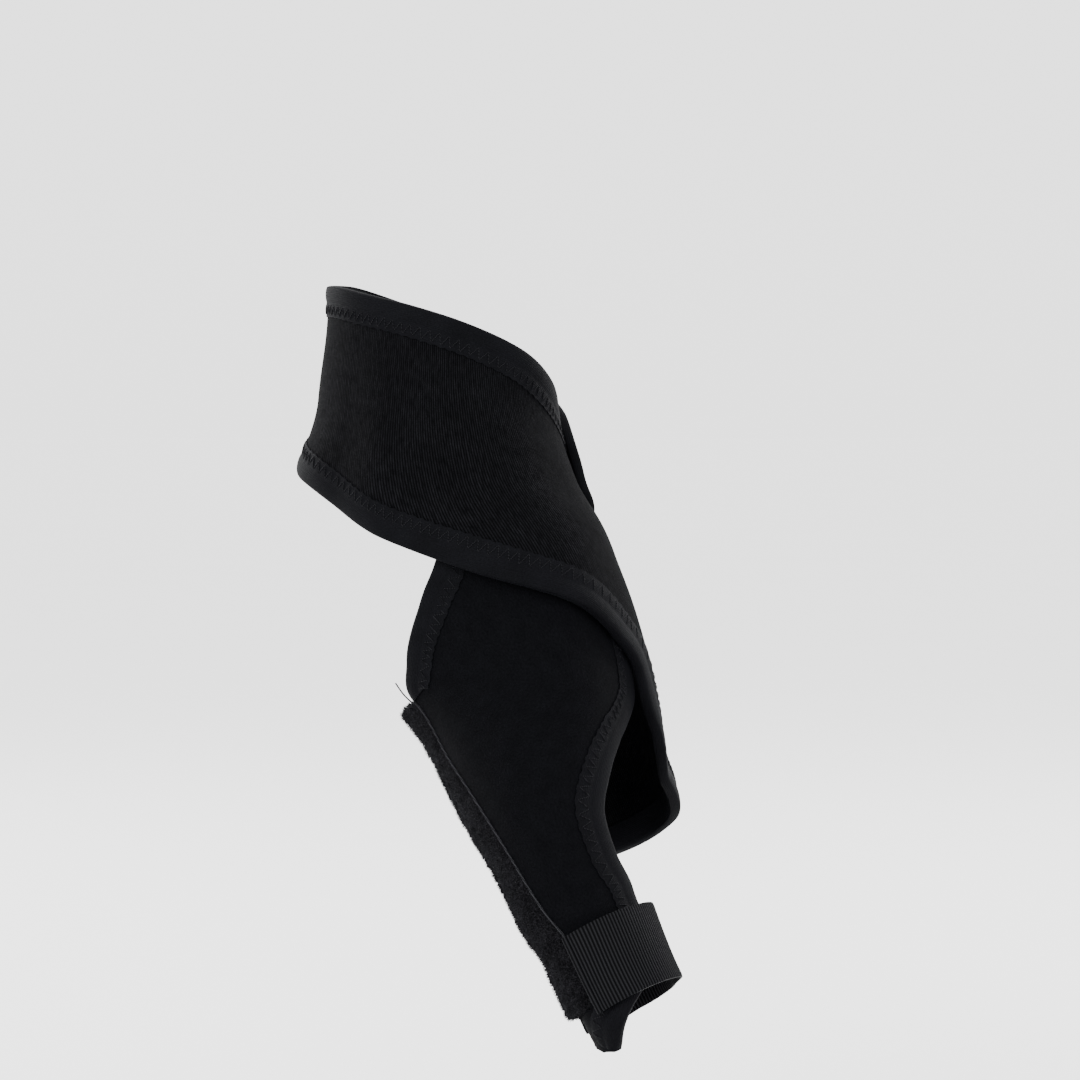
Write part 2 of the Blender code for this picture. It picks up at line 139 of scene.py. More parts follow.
@dataclass
class FootForm:
    """The smooth shape that the splint is worn on.

    A section is (level, reach, tilt, depth, shift, inner half width, outer half width, squareness), with
    its lengths as shares of the named sizes of its part of the foot.
    """

    foot_drop: float = 0.200
    foot_reach: float = 0.0945
    toe_shift: float = 0.030
    ankle_depth: float = 0.070
    ankle_width: float = 0.064
    instep_depth: float = 0.061
    foot_width: float = 0.078
    toe_depth: float = 0.023
    toe_width: float = 0.030
    ripple: float = 0.006
    probe: float = 0.5
    leg: tuple = (
        (-0.300, 0.00, 0, 0.530, 0.00, 0.485, 0.485, 2.0),
        (-0.160, 0.00, -3, 0.495, 0.00, 0.445, 0.445, 2.0),
        (0.000, -0.02, 0, 0.500, 0.00, 0.500, 0.500, 2.05),
        (0.135, -0.05, 2, 0.600, 0.00, 0.525, 0.525, 2.1),
        (0.290, 0.02, 10, 0.700, 0.03, 0.500, 0.530, 2.2),
    )
    foot: tuple = (
        (0.450, 0.340, 18, 0.490, 0.13, 0.370, 0.540, 2.3),
        (0.575, 0.480, 24, 0.370, 0.30, 0.370, 0.640, 2.3),
        (0.680, 0.61, 28, 0.270, 0.53, 0.335, 0.665, 2.3),
        (0.760, 0.700, 31, 0.220, 0.73, 0.270, 0.360, 2.3),
    )
    toe: tuple = (
        (0.800, 0.755, 33, 0.500, 0.83, 0.580, 0.560, 2.2),
        (0.890, 0.875, 33, 0.500, 0.97, 0.500, 0.500, 2.1),
        (1.000, 1.020, 33, 0.500, 1.00, 0.470, 0.470, 2.1),
        (1.075, 1.11, 33, 0.375, 1.00, 0.370, 0.370, 2.1),
    )

    def __post_init__(self) -> None:
        """Turns the sections into one smooth curve for each of their sizes."""
        rows = []
        for group, depth, width in (
            (self.leg, self.ankle_depth, self.ankle_width),
            (self.foot, self.instep_depth, self.foot_width),
            (self.toe, self.toe_depth, self.toe_width),
        ):
            scale = (1, self.foot_reach, 1, depth, self.toe_shift, width, width, 1)
            rows += [[size * by for size, by in zip(row, scale)] for row in group]
        levels, *columns = zip(*rows)
        names = ("reach", "tilt", "depth", "shift", "inner", "outer", "square")
        self.curves = {name: Curve(levels, column) for name, column in zip(names, columns)}

    def at(self, level: Array, angle: Array) -> Array:
        """Points of the form.

        Args:
            level: The level of each point.
            angle: Its angle in degrees.

        Returns:
            The points, with a last axis of three.
        """
        level, angle = np.broadcast_arrays(np.asarray(level, float), np.asarray(angle, float))
        size = {name: curve.at(level) for name, curve in self.curves.items()}
        turn = np.radians(angle)
        ahead, inward = np.cos(turn), np.sin(turn)
        radius = (np.abs(ahead) ** size["square"] + np.abs(inward) ** size["square"]) ** (
            -1 / size["square"]
        )
        radius = radius * (1 + self.ripple * self.waves(level, turn))
        side = np.where(inward > 0, size["inner"], size["outer"])
        forward = size["depth"] * radius * ahead
        tilt = np.radians(size["tilt"])
        return np.stack(
            [
                size["reach"] + forward * np.cos(tilt),
                -size["shift"] - side * radius * inward,
                -level * self.foot_drop + forward * np.sin(tilt),
            ],
            axis=-1,
        )

    @staticmethod
    def waves(level: Array, turn: Array) -> Array:
        """The slight unevenness of worn cloth, from -1 to 1, the same for every layer."""
        return (
            np.sin(3 * turn + 17 * level + 0.6)
            + np.sin(7 * turn - 29 * level + 2.1)
            + 0.6 * np.sin(2 * turn + 47 * level + 4.0)
        ) / 2.6

    def slopes(self, level: Array, angle: Array) -> tuple[Array, Array]:
        """How a point moves for a unit of level and for a degree.

        Args:
            level: The level of each point.
            angle: Its angle in degrees.

        Returns:
            The two rates, as vectors.
        """
        drop = self.probe * MM / self.foot_drop
        down = (self.at(level + drop, angle) - self.at(level - drop, angle)) / (2 * drop)
        turn = (self.at(level, angle + self.probe) - self.at(level, angle - self.probe)) / (
            2 * self.probe
        )
        return down, turn

    def normals(self, level: Array, angle: Array) -> Array:
        """The directions straight out of the form."""
        down, turn = self.slopes(level, angle)
        return unit(np.cross(turn, down))

    def raised(self, level: Array, angle: Array, height: Array) -> Array:
        """Points at a height over the form.

        Args:
            level: The level of each point.
            angle: Its angle in degrees.
            height: Its height in metres.

        Returns:
            The points.
        """
        height = np.asarray(height, float)[..., None]
        return self.at(level, angle) + height * self.normals(level, angle)

    def walked(
        self, level: Array, angle: Array, way: Array, distance: Array, steps: int = 1
    ) -> tuple[Array, Array]:
        """Places reached by walking over the form.

        Args:
            level: The level of each start.
            angle: Its angle in degrees.
            way: The direction to walk in, as a vector that need not lie on the form.
            distance: How far to walk, in metres.
            steps: Into how many short walks it is cut.

        Returns:
            The levels and the angles reached.
        """
        for _ in range(steps):
            down, turn = self.slopes(level, angle)
            out = unit(np.cross(turn, down))
            flat = unit(way - out * (way * out).sum(-1, keepdims=True))
            dd, tt, dt = (down * down).sum(-1), (turn * turn).sum(-1), (down * turn).sum(-1)
            along_down, along_turn = (down * flat).sum(-1), (turn * flat).sum(-1)
            part = distance / steps / (dd * tt - dt * dt)
            level = level + part * (along_down * tt - along_turn * dt)
            angle = angle + part * (along_turn * dd - along_down * dt)
        return level, angle

    def moved_angle(self, level: float, angle: float, distance: float) -> float:
        """The angle that lies a real distance further round the form."""
        turn = self.slopes(np.array(level), np.array(angle))[1]
        return float(angle + distance / np.linalg.norm(turn))


FORM = FootForm()


class Ladder:
    """The rungs of a piece of cloth, read smoothly at any place from the first to the last.

    A rung is (angle, level) of its first end and (angle, level) of its second.
    """

    def __init__(self, rungs: Sequence[Sequence[float]]) -> None:
        """Keeps one curve for each of a rung's four numbers."""
        keys = range(len(rungs))
        self.curves = [Curve(keys, column) for column in zip(*rungs)]
        self.last = float(len(rungs) - 1)

    def at(self, place: Array) -> Array:
        """The rungs at these places, with a last axis of four."""
        return np.stack([curve.at(place) for curve in self.curves], axis=-1)

    def even(self, first: float, last: float, step: float) -> Array:
        """Places with an even real distance between them.

        Args:
            first: The first place.
            last: The last place.
            step: The distance, as the mean of the two edges.

        Returns:
            The places.
        """
        fine = np.linspace(first, last, int(round((last - first) * 40)) + 1)
        rungs = self.at(fine)
        steps = [
            np.linalg.norm(np.diff(FORM.at(rungs[:, i + 1], rungs[:, i]), axis=0), axis=1)
            for i in (0, 2)
        ]
        run = np.concatenate([[0.0], np.cumsum(sum(steps) / 2)])
        return np.interp(np.linspace(0, run[-1], max(2, math.ceil(run[-1] / step)) + 1), run, fine)


def narrowed(rungs: Array, inset: Array) -> Array:
    """Rungs drawn in at both of their ends.

    Args:
        rungs: The rungs.
        inset: The real length that each end moves in by.

    Returns:
        The shorter rungs.
    """
    ends = FORM.at(rungs[:, 3], rungs[:, 2]) - FORM.at(rungs[:, 1], rungs[:, 0])
    share = (inset / np.linalg.norm(ends, axis=1))[:, None]
    move = (rungs[:, 2:] - rungs[:, :2]) * share
    return np.concatenate([rungs[:, :2] + move, rungs[:, 2:] - move], axis=1)


def deselect() -> None:
    """Leaves nothing selected, so that an operator acts on the new piece alone."""
    if bpy.context.mode != "OBJECT":
        bpy.ops.object.mode_set(mode="OBJECT")
    bpy.ops.object.select_all(action="DESELECT")


def activate(piece: bpy.types.Object) -> None:
    """Makes this piece the only one that is selected."""
    deselect()
    piece.select_set(True)
    bpy.context.view_layer.objects.active = piece


def apply_modifiers(piece: bpy.types.Object) -> None:
    """Applies every modifier of the piece, from the top down."""
    activate(piece)
    for modifier in list(piece.modifiers):
        bpy.ops.object.modifier_apply(modifier=modifier.name)


def grid_piece(name: str, points: Array, uv: Array | None = None) -> bpy.types.Object:
    """A surface through rows of points, from a grid primitive.

    Args:
        name: The piece's name.
        points: Rows along the piece of points across it.
        uv: The UV place of each point in metres.

    Returns:
        The new object, whose faces look out of the form where rows go round it and points down it.
    """
    long, wide = points.shape[:2]
    deselect()
    bpy.ops.mesh.primitive_grid_add(x_subdivisions=wide - 1, y_subdivisions=long - 1, size=2)
    piece = bpy.context.object
    piece.name = piece.data.name = name
    flat = np.empty(len(piece.data.vertices) * 3)
    piece.data.vertices.foreach_get("co", flat)
    flat = flat.reshape(-1, 3)
    across = np.rint((flat[:, 0] + 1) / 2 * (wide - 1)).astype(int)
    along = np.rint((flat[:, 1] + 1) / 2 * (long - 1)).astype(int)
    piece.data.vertices.foreach_set("co", points[along, across].ravel())
    if uv is not None:
        corners = np.empty(len(piece.data.loops), int)
        piece.data.loops.foreach_get("vertex_index", corners)
        layer = piece.data.uv_layers.active or piece.data.uv_layers.new(name="UVMap")
        layer.data.foreach_set("uv", uv[along, across][corners].astype(np.float32).ravel())
    piece.data.update()
    return piece


def face_out(piece: bpy.types.Object, outward: Array) -> None:
    """Turns a surface over if its faces look against the given mean direction at its middle."""
    middle = piece.data.polygons[len(piece.data.polygons) // 2]
    if np.dot(middle.normal, outward) < 0:
        activate(piece)
        bpy.ops.object.mode_set(mode="EDIT")
        bpy.ops.mesh.select_all(action="SELECT")
        bpy.ops.mesh.flip_normals()
        bpy.ops.object.mode_set(mode="OBJECT")


def walled(piece: bpy.types.Object, wall: float, rounding: float, weights: Array | None = None) -> None:
    """Gives a surface its wall, half to each side, with rounded rims.

    Args:
        piece: The surface.
        wall: The wall's thickness.
        rounding: The rims' bevel width, or 0 for none.
        weights: The share of the wall at each row and column, where it varies.
    """
    solid = piece.modifiers.new("wall", "SOLIDIFY")
    solid.thickness = wall
    solid.offset = 0.0
    if weights is not None:
        group = piece.vertex_groups.new(name="wall")
        for i, weight in enumerate(weights.ravel()):
            group.add([i], float(weight), "REPLACE")
        solid.vertex_group = group.name
    if rounding:
        bevel = piece.modifiers.new("rims", "BEVEL")
        bevel.width = rounding
        bevel.segments = 2
        bevel.limit_method = "ANGLE"
        bevel.angle_limit = math.radians(50)
    apply_modifiers(piece)


def tubes(name: str, paths: Array, radius: float, sides: int = 0) -> bpy.types.Object:
    """Threads, as one mesh made from bevelled curves.

    Args:
        name: The piece's name.
        paths: The points of each thread.
        radius: The threads' radius.
        sides: The curve's bevel resolution.

    Returns:
        The new object.
    """
    data = bpy.data.curves.new(name, "CURVE")
    data.dimensions = "3D"
    data.bevel_depth = radius
    data.bevel_resolution = sides
    data.use_fill_caps = True
    for path in paths:
        line = data.splines.new("POLY")
        line.points.add(len(path) - 1)
        line.points.foreach_set("co", np.concatenate([path, np.ones((len(path), 1))], 1).ravel())
    piece = bpy.data.objects.new(name, data)
    bpy.context.scene.collection.objects.link(piece)
    activate(piece)
    bpy.ops.object.convert(target="MESH")
    return bpy.context.object


def dress(
    piece: bpy.types.Object, material: bpy.types.Material, slot: str, *nodes: str
) -> bpy.types.Object:
    """Finishes a piece: its material, its body and the nodes that it stands for.

    Args:
        piece: The finished mesh.
        material: Its material.
        slot: The record's material slot, which is not used.
        nodes: The CAD nodes that it replaces.

    Returns:
        The same piece.
    """
    activate(piece)
    bpy.ops.object.shade_smooth_by_angle(angle=math.radians(50))
    piece.data.materials.clear()
    piece.data.materials.append(material)
    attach(piece, BODY)
    if nodes:
        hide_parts(*nodes)
    piece.data.calc_loop_triangles()
    LOG.info("%s: %d triangles", piece.name, len(piece.data.loop_triangles))
    return piece


class NodeBoard:
    """A new material, with short calls for the nodes that the finishes share."""

    def __init__(self, name: str) -> None:
        """Makes the material."""
        self.material = bpy.data.materials.new(name)
        self.material.use_nodes = True
        self.tree = self.material.node_tree
        self.shader = self.tree.nodes["Principled BSDF"]

    def node(self, kind: str, inputs: dict | None = None, **settings: object) -> bpy.types.Node:
        """Adds a node.

        Args:
            kind: Its Blender type.
            inputs: Sockets to link, or values to set, by input name or number.
            settings: The node's own properties.

        Returns:
            The node.
        """
        made = self.tree.nodes.new(kind)
        for key, value in settings.items():
            setattr(made, key, value)
        for key, value in (inputs or {}).items():
            if isinstance(value, bpy.types.NodeSocket):
                self.tree.links.new(value, made.inputs[key])
            else:
                made.inputs[key].default_value = value
        return made

    def coordinates(self, source: str, scale: Sequence[float] = (1, 1, 1)) -> bpy.types.NodeSocket:
        """The UV or Object coordinates in millimetres, each axis times a scale."""
        place = self.node("ShaderNodeTexCoord").outputs[source]
        size = [axis / MM for axis in scale]
        return self.node("ShaderNodeMapping", {"Vector": place, "Scale": size}).outputs[0]

    def math(self, operation: str, *values: object) -> bpy.types.NodeSocket:
        """One Math node on sockets or numbers."""
        return self.node(
            "ShaderNodeMath", dict(enumerate(values)), operation=operation
        ).outputs[0]

    def noise(
        self, place: bpy.types.NodeSocket, grain: float, detail: float = 2.0
    ) -> bpy.types.NodeSocket:
        """Noise whose grain has this size in millimetres."""
        return self.node(
            "ShaderNodeTexNoise", {"Vector": place, "Scale": 1 / grain, "Detail": detail}
        ).outputs[0]

    def bands(
        self, place: bpy.types.NodeSocket, axis: str, pitch: float, stray: float
    ) -> bpy.types.NodeSocket:
        """Smooth bands.

        Args:
            place: The coordinates in millimetres.
            axis: X or Y, the axis that they follow each other on.
            pitch: Their distance in millimetres.
            stray: How far noise pushes them about.

        Returns:
            The bands, from 0 to 1.
        """
        inputs = {
            "Vector": place,
            "Scale": math.tau / 20 / pitch,
            "Distortion": stray,
            "Detail": 2.0,
            "Detail Scale": 1.5,
        }
        return self.node(
            "ShaderNodeTexWave", inputs, wave_type="BANDS", bands_direction=axis
        ).outputs[1]

    def ranged(self, value: bpy.types.NodeSocket, low: float, high: float) -> bpy.types.NodeSocket:
        """A 0 to 1 value spread between two others."""
        return self.node(
            "ShaderNodeMapRange", {"Value": value, "To Min": low, "To Max": high}
        ).outputs[0]

    def mixed(self, share: bpy.types.NodeSocket, low: Colour, high: Colour) -> bpy.types.NodeSocket:
        """A colour between two."""
        return self.node(
            "ShaderNodeMix", {0: share, 6: (*low, 1.0), 7: (*high, 1.0)}, data_type="RGBA"
        ).outputs[2]

    def finish(
        self,
        colour: bpy.types.NodeSocket,
        roughness: bpy.types.NodeSocket,
        relief: bpy.types.NodeSocket,
        depth: float,
        sheen: float,
    ) -> bpy.types.Material:
        """Joins the parts of a cloth finish to the shader.

        Args:
            colour: The base colour.
            roughness: The roughness.
            relief: The height of the surface, from 0 to 1.
            depth: What 1 of it stands for, in millimetres.
            sheen: The weight of the soft rim light on fibres.

        Returns:
            The material.
        """
        bump = self.node("ShaderNodeBump", {"Height": relief, "Distance": depth * MM, "Strength": 1.0})
        for name, socket in (
            ("Base Color", colour),
            ("Roughness", roughness),
            ("Normal", bump.outputs[0]),
        ):
            self.tree.links.new(socket, self.shader.inputs[name])
        self.shader.inputs["Specular IOR Level"].default_value = 0.02
        self.shader.inputs["Sheen Weight"].default_value = sheen
        self.shader.inputs["Sheen Roughness"].default_value = 0.45
        self.shader.inputs["Sheen Tint"].default_value = (0.80, 0.84, 1.0, 1.0)
        return self.material


@dataclass(frozen=True)
class KnitFinish:
    """Fine knit on neoprene: upright wales with broken crests, painted lighter on the raised crests as a
    painted highlight and darker between them as painted shade.
    """

    # dark is the painted shade between the wales, light the painted highlight on their crests.
    dark: Colour = (0.0002, 0.0002, 0.0003)
    light: Colour = (0.0058, 0.0058, 0.0070)
    wale: float = 0.92
    course: float = 1.3
    sheen: float = 0.003

    def make(self) -> bpy.types.Material:
        """Builds the material."""
        board = NodeBoard("knitted_neoprene_cloth")
        place = board.coordinates("UV")
        wales = board.bands(place, "X", self.wale, 1.2)
        courses = board.bands(place, "Y", self.course, 3.0)
        breaks = board.noise(board.coordinates("UV", (1.0, 0.35, 1.0)), 1.1)
        broad = board.noise(place, 14.0)
        specks = board.noise(place, 0.45, 1.0)
        broken = board.math("MULTIPLY", board.ranged(breaks, -0.3, 1.7), board.ranged(specks, 0.2, 1.8))
        crest_and_highlight = board.math("MULTIPLY", wales, broken)
        relief = board.math("ADD", crest_and_highlight, board.math("MULTIPLY", courses, 0.3))
        # Painted highlight and shade: the colour follows the crests of the bump, light on the raised wales and
        # dark in the troughs.
        tone = board.math("MULTIPLY", crest_and_highlight, board.ranged(broad, 0.35, 1.15))
        colour = board.mixed(tone, self.dark, self.light)
        return board.finish(colour, board.ranged(breaks, 0.95, 0.72), relief, 0.16, self.sheen)


@dataclass(frozen=True)
class NeopreneFinish:
    """The panel's smoother face: a close jersey with faint mottling."""

    dark: Colour = (0.0003, 0.0003, 0.0005)
    light: Colour = (0.0022, 0.0023, 0.0030)
    sheen: float = 0.002

    def make(self) -> bpy.types.Material:
        """Builds the material."""
        board = NodeBoard("smooth_neoprene_cloth")
        place = board.coordinates("UV")
        jersey = board.bands(place, "Y", 0.55, 2.5)
        grain = board.noise(place, 0.7)
        mottle = board.noise(place, 5.0, 4.0)
        relief = board.math("ADD", grain, board.math("MULTIPLY", jersey, 0.4))
        tone = board.math("MULTIPLY", grain, board.ranged(mottle, 0.2, 1.5))
        colour = board.mixed(tone, self.dark, self.light)
        return board.finish(colour, board.ranged(grain, 0.9, 0.66), relief, 0.12, self.sheen)


@dataclass(frozen=True)
class TapeFinish:
    """Binding tape: a close stretch weave with a slight lustre."""

    dark: Colour = (0.0005, 0.0005, 0.0007)
    light: Colour = (0.0038, 0.0039, 0.0050)
    rib: float = 0.6
    sheen: float = 0.004

    def make(self) -> bpy.types.Material:
        """Builds the material."""
        board = NodeBoard("binding_tape_cloth")
        place = board.coordinates("UV")
        ribs = board.bands(place, "Y", self.rib, 0.8)
        grain = board.noise(place, 0.5)
        wear = board.noise(place, 9.0, 3.0)
        relief = board.math("ADD", ribs, board.math("MULTIPLY", grain, 0.8))
        tone = board.math("MULTIPLY", grain, board.ranged(wear, 0.3, 1.5))
        colour = board.mixed(tone, self.dark, self.light)
        return board.finish(colour, board.ranged(grain, 0.78, 0.52), relief, 0.06, self.sheen)


@dataclass(frozen=True)
class ThreadFinish:
    """Sewing thread and cord: two plies that wind round each other, with a painted highlight on the plies'
    crowns and painted shade where they meet.
    """

    name: str
    # dark is the painted shade between the plies, light the painted highlight on their crowns.
    dark: Colour = (0.0012, 0.0012, 0.0015)
    light: Colour = (0.0090, 0.0090, 0.0104)
    ply: float = 0.5
    sheen: float = 0.006

    def make(self) -> bpy.types.Material:
        """Builds the material."""
        board = NodeBoard(self.name)
        place = board.coordinates("Object")
        plies = board.node(
            "ShaderNodeTexWave",
            {"Vector": place, "Scale": math.tau / 20 / self.ply, "Distortion": 1.0},
            wave_type="BANDS",
            bands_direction="DIAGONAL",
        ).outputs[1]
        lint = board.noise(place, 0.4)
        # Painted highlight and shade: the colour follows the plies' bump, light on their crowns and dark
        # between them.
        colour = board.mixed(plies, self.dark, self.light)
        return board.finish(colour, board.ranged(lint, 0.75, 0.5), plies, 0.05, self.sheen)


@dataclass(frozen=True)
class PlushFinish:
    """Brushed loop fabric of the bar: soft clumps of nap, flecked with light specks that are painted glints
    and painted lighter on the raised clumps as a highlight.
    """

    name: str
    # light is the colour of the painted glints and of the painted highlight on the raised clumps.
    dark: Colour = (0.0002, 0.0002, 0.0003)
    light: Colour = (0.0078, 0.0076, 0.0088)
    clump: float = 1.5
    glint_size: float = 0.45
    sheen: float = 0.014

    def make(self) -> bpy.types.Material:
        """Builds the material."""
        board = NodeBoard(self.name)
        place = board.coordinates("Object")
        clumps = board.noise(place, self.clump, 3.0)
        nap = board.noise(place, 0.35, 2.0)
        broad = board.noise(place, 7.0, 2.0)
        relief = board.math("ADD", clumps, board.math("MULTIPLY", nap, 0.6))
        # Painted glints and highlight: sparse light specks where fibres would catch the light, brighter on the
        # raised clumps of the bump.
        specks = board.math("POWER", board.noise(place, self.glint_size, 1.0), 3.0)
        tone = board.math("MULTIPLY", board.math("MULTIPLY", clumps, 5.0), specks)
        tone = board.math("MULTIPLY", tone, board.ranged(broad, 0.4, 1.8))
        colour = board.mixed(tone, self.dark, self.light)
        return board.finish(colour, board.ranged(nap, 0.98, 0.85), relief, 0.35, self.sheen)


@dataclass(frozen=True)
class WebbingFinish:
    """Ribbed elastic webbing: its ribs are in the mesh, and its fine warp is here; the colour is a painted
    highlight on the rib crests and painted shade in the grooves between them.
    """

    # dark is the painted shade in the grooves between the ribs, light the painted highlight on their crests.
    dark: Colour = (0.0003, 0.0003, 0.0005)
    light: Colour = (0.0086, 0.0087, 0.0098)
    warp: float = 0.45
    rib: float = 1.05
    sheen: float = 0.004

    def make(self) -> bpy.types.Material:
        """Builds the material."""
        board = NodeBoard("ribbed_webbing_cloth")
        place = board.coordinates("UV")
        warp = board.bands(place, "Y", self.warp, 0.5)
        ribs = board.bands(place, "X", self.rib, 0.0)
        grain = board.noise(place, 0.5)
        relief = board.math("ADD", warp, board.math("MULTIPLY", grain, 0.7))
        # Painted highlight and shade: light on the crests of the ribs, which are in the mesh, and dark in the
        # grooves between them.
        crest_and_highlight = board.math("MULTIPLY", board.math("POWER", ribs, 1.5), board.ranged(grain, 0.6, 1.3))
        colour = board.mixed(crest_and_highlight, self.dark, self.light)
        return board.finish(colour, board.ranged(grain, 0.7, 0.5), relief, 0.08, self.sheen)


@dataclass(frozen=True)
class HookFinish:
    """Moulded hook pad: a dull plastic-backed cloth."""

    dark: Colour = (0.0016, 0.0016, 0.0016)
    light: Colour = (0.0065, 0.0065, 0.0065)
    sheen: float = 0.0

    def make(self) -> bpy.types.Material:
        """Builds the material."""
        board = NodeBoard("hook_pad_cloth")
        place = board.coordinates("Object")
        dots = board.node("ShaderNodeTexVoronoi", {"Vector": place, "Scale": 1.1}).outputs[0]
        grain = board.noise(place, 0.4)
        colour = board.mixed(grain, self.dark, self.light)
        return board.finish(colour, board.ranged(grain, 0.6, 0.4), dots, 0.1, self.sheen)


@dataclass(frozen=True)
class FloorFinish:
    """A pale matt studio floor."""

    pale: Colour = (0.86, 0.86, 0.86)
    paler: Colour = (0.88, 0.88, 0.88)

    def make(self) -> bpy.types.Material:
        """Builds the material."""
        board = NodeBoard("studio_floor")
        cloud = board.noise(board.coordinates("Object"), 300.0)
        board.tree.links.new(
            board.mixed(cloud, self.pale, self.paler), board.shader.inputs["Base Color"]
        )
        board.shader.inputs["Roughness"].default_value = 0.9
        return board.material


@dataclass
class LayerSizes:
    """The thicknesses and gaps of the layers, as in the part's source."""

    skin_gap: float = 0.0008
    neoprene: float = 0.0024
    tape: float = 0.0004
    tape_gap: float = 0.00025
    layer_gap: float = 0.0005
    seam_gap: float = 0.0005

    @property
    def step(self) -> float:
        """How much one taped layer of neoprene lifts the next."""
        return self.neoprene + 2 * (self.tape_gap + self.tape) + self.layer_gap


LAYERS = LayerSizes()


@dataclass
class Cloth:
    """A sheet of cloth on the form: its rungs, its inner face's height over the form and its wall."""

    rungs: Array
    height: Height
    wall: float
    relief: Callable[[Array, Array], Array] | None = None

    def places(self, shares: Array) -> tuple[Array, Array]:
        """The levels and angles at shares of each rung, as rows along and columns across."""
        shares = np.asarray(shares, float)[None, :]
        angles = self.rungs[:, [0]] + (self.rungs[:, [2]] - self.rungs[:, [0]]) * shares
        levels = self.rungs[:, [1]] + (self.rungs[:, [3]] - self.rungs[:, [1]]) * shares
        return levels, angles

    def points(self, shares: Array, lift: float = 0.0) -> Array:
        """The wall's middle, raised by a lift."""
        levels, angles = self.places(shares)
        return FORM.raised(levels, angles, self.height(angles, levels) + self.wall / 2 + lift)

    def uv(self, points: Array) -> Array:
        """The real run along and across the cloth at each of its points."""
        along = np.linalg.norm(np.diff(points, axis=0), axis=2).mean(1)
        run = np.concatenate([[0.0], np.cumsum(along)])
        across = np.linalg.norm(np.diff(points, axis=1), axis=2)
        over = np.concatenate([np.zeros((len(points), 1)), np.cumsum(across, axis=1)], axis=1)
        return np.stack([np.broadcast_to(run[:, None], over.shape), over], axis=-1)

    def piece(self, name: str, columns: int, rounding: float) -> bpy.types.Object:
        """The sheet with its wall.

        Args:
            name: The piece's name.
            columns: How many strips it has across.
            rounding: The bevel width of its rims.

        Returns:
            The new object.
        """
        shares = np.linspace(0, 1, columns + 1)
        points = self.points(shares)
        uv = self.uv(points)
        levels, angles = self.places(shares)
        if self.relief is not None:
            points = points + FORM.normals(levels, angles) * self.relief(uv[..., 0], uv[..., 1])[..., None]
        made = grid_piece(name, points, uv)
        middle = (len(levels) // 2, columns // 2)
        face_out(made, FORM.normals(levels[middle], angles[middle]))
        walled(made, self.wall, rounding)
        return made

    def size(self) -> tuple[float, float, float]:
        """The cloth's middle length, widest width and area."""
        points = self.points(np.linspace(0, 1, 25))
        uv = self.uv(points)
        widths = uv[:, -1, 1]
        length = np.linalg.norm(np.diff(points[:, 12], axis=0), axis=1).sum()
        steps = np.diff(uv[:, 0, 0])
        return float(length), float(widths.max()), float((steps * (widths[1:] + widths[:-1]) / 2).sum())


@dataclass
class Boundary:
    """A line along a cloth's edge, evenly spaced, from which tape and thread reach inwards."""

    cloth: Cloth
    levels: Array
    angles: Array
    room: Array | None = None
    step: float = 0.0006

    def __post_init__(self) -> None:
        """Spaces the points evenly and finds the inward direction at each."""
        points = FORM.at(self.levels, self.angles)
        keep = np.concatenate([[True], np.linalg.norm(np.diff(points, axis=0), axis=1) > 1e-6])
        room = np.full(len(keep), np.inf) if self.room is None else self.room
        self.levels, self.angles, points = self.levels[keep], self.angles[keep], points[keep]
        run = np.concatenate([[0.0], np.cumsum(np.linalg.norm(np.diff(points, axis=0), axis=1))])
        self.run = np.linspace(0, run[-1], math.ceil(run[-1] / self.step) + 1)
        self.levels = np.interp(self.run, run, self.levels)
        self.angles = np.interp(self.run, run, self.angles)
        self.room = room[keep][np.searchsorted(run, self.run).clip(0, len(run) - 1)]
        reach = 2
        points = FORM.at(self.levels, self.angles)
        ahead = np.gradient(points, axis=0)
        padded = np.pad(ahead, ((reach, reach), (0, 0)), mode="edge")
        ahead = sum(padded[i : i + len(ahead)] for i in range(2 * reach + 1))
        self.inward = unit(np.cross(FORM.normals(self.levels, self.angles), ahead))

    @property
    def length(self) -> float:
        """The boundary's real length."""
        return float(self.run[-1])

    def turn_inward(self, target: Array) -> "Boundary":
        """Makes the inward directions point towards a target near the first point.

        Args:
            target: A point well inside the cloth, near the boundary's start.

        Returns:
            This boundary.
        """
        start = FORM.at(self.levels[0], self.angles[0])
        if np.dot(self.inward[0], target - start) < 0:
            self.inward = -self.inward
        return self

    def squeeze(self, run: Array, width: float) -> Array:
        """The share of a tape's width that has room on the cloth at a run along the boundary."""
        return np.interp(run, self.run, np.minimum(self.room / width, 1.0))

    def place(self, run: Array, depth: Array) -> tuple[Array, Array]:
        """The levels and angles at a run along the boundary and a depth inwards from it."""
        level = np.interp(run, self.run, self.levels)
        angle = np.interp(run, self.run, self.angles)
        way = np.stack([np.interp(run, self.run, self.inward[:, i]) for i in range(3)], axis=-1)
        return FORM.walked(level, angle, way, depth, steps=4)

    def points(self, run: Array, depth: Array, rise: Array) -> Array:
        """Points at a rise over the middle of the cloth's wall.

        Args:
            run: How far along the boundary.
            depth: How far inwards, where less than 0 lies outside the cloth.
            rise: How far over the wall's middle, where less than 0 is towards the foot.

        Returns:
            The points.
        """
        run, depth, rise = np.broadcast_arrays(run, depth, rise)
        level, angle = self.place(run, depth)
        return FORM.raised(level, angle, self.cloth.height(angle, level) + self.cloth.wall / 2 + rise)


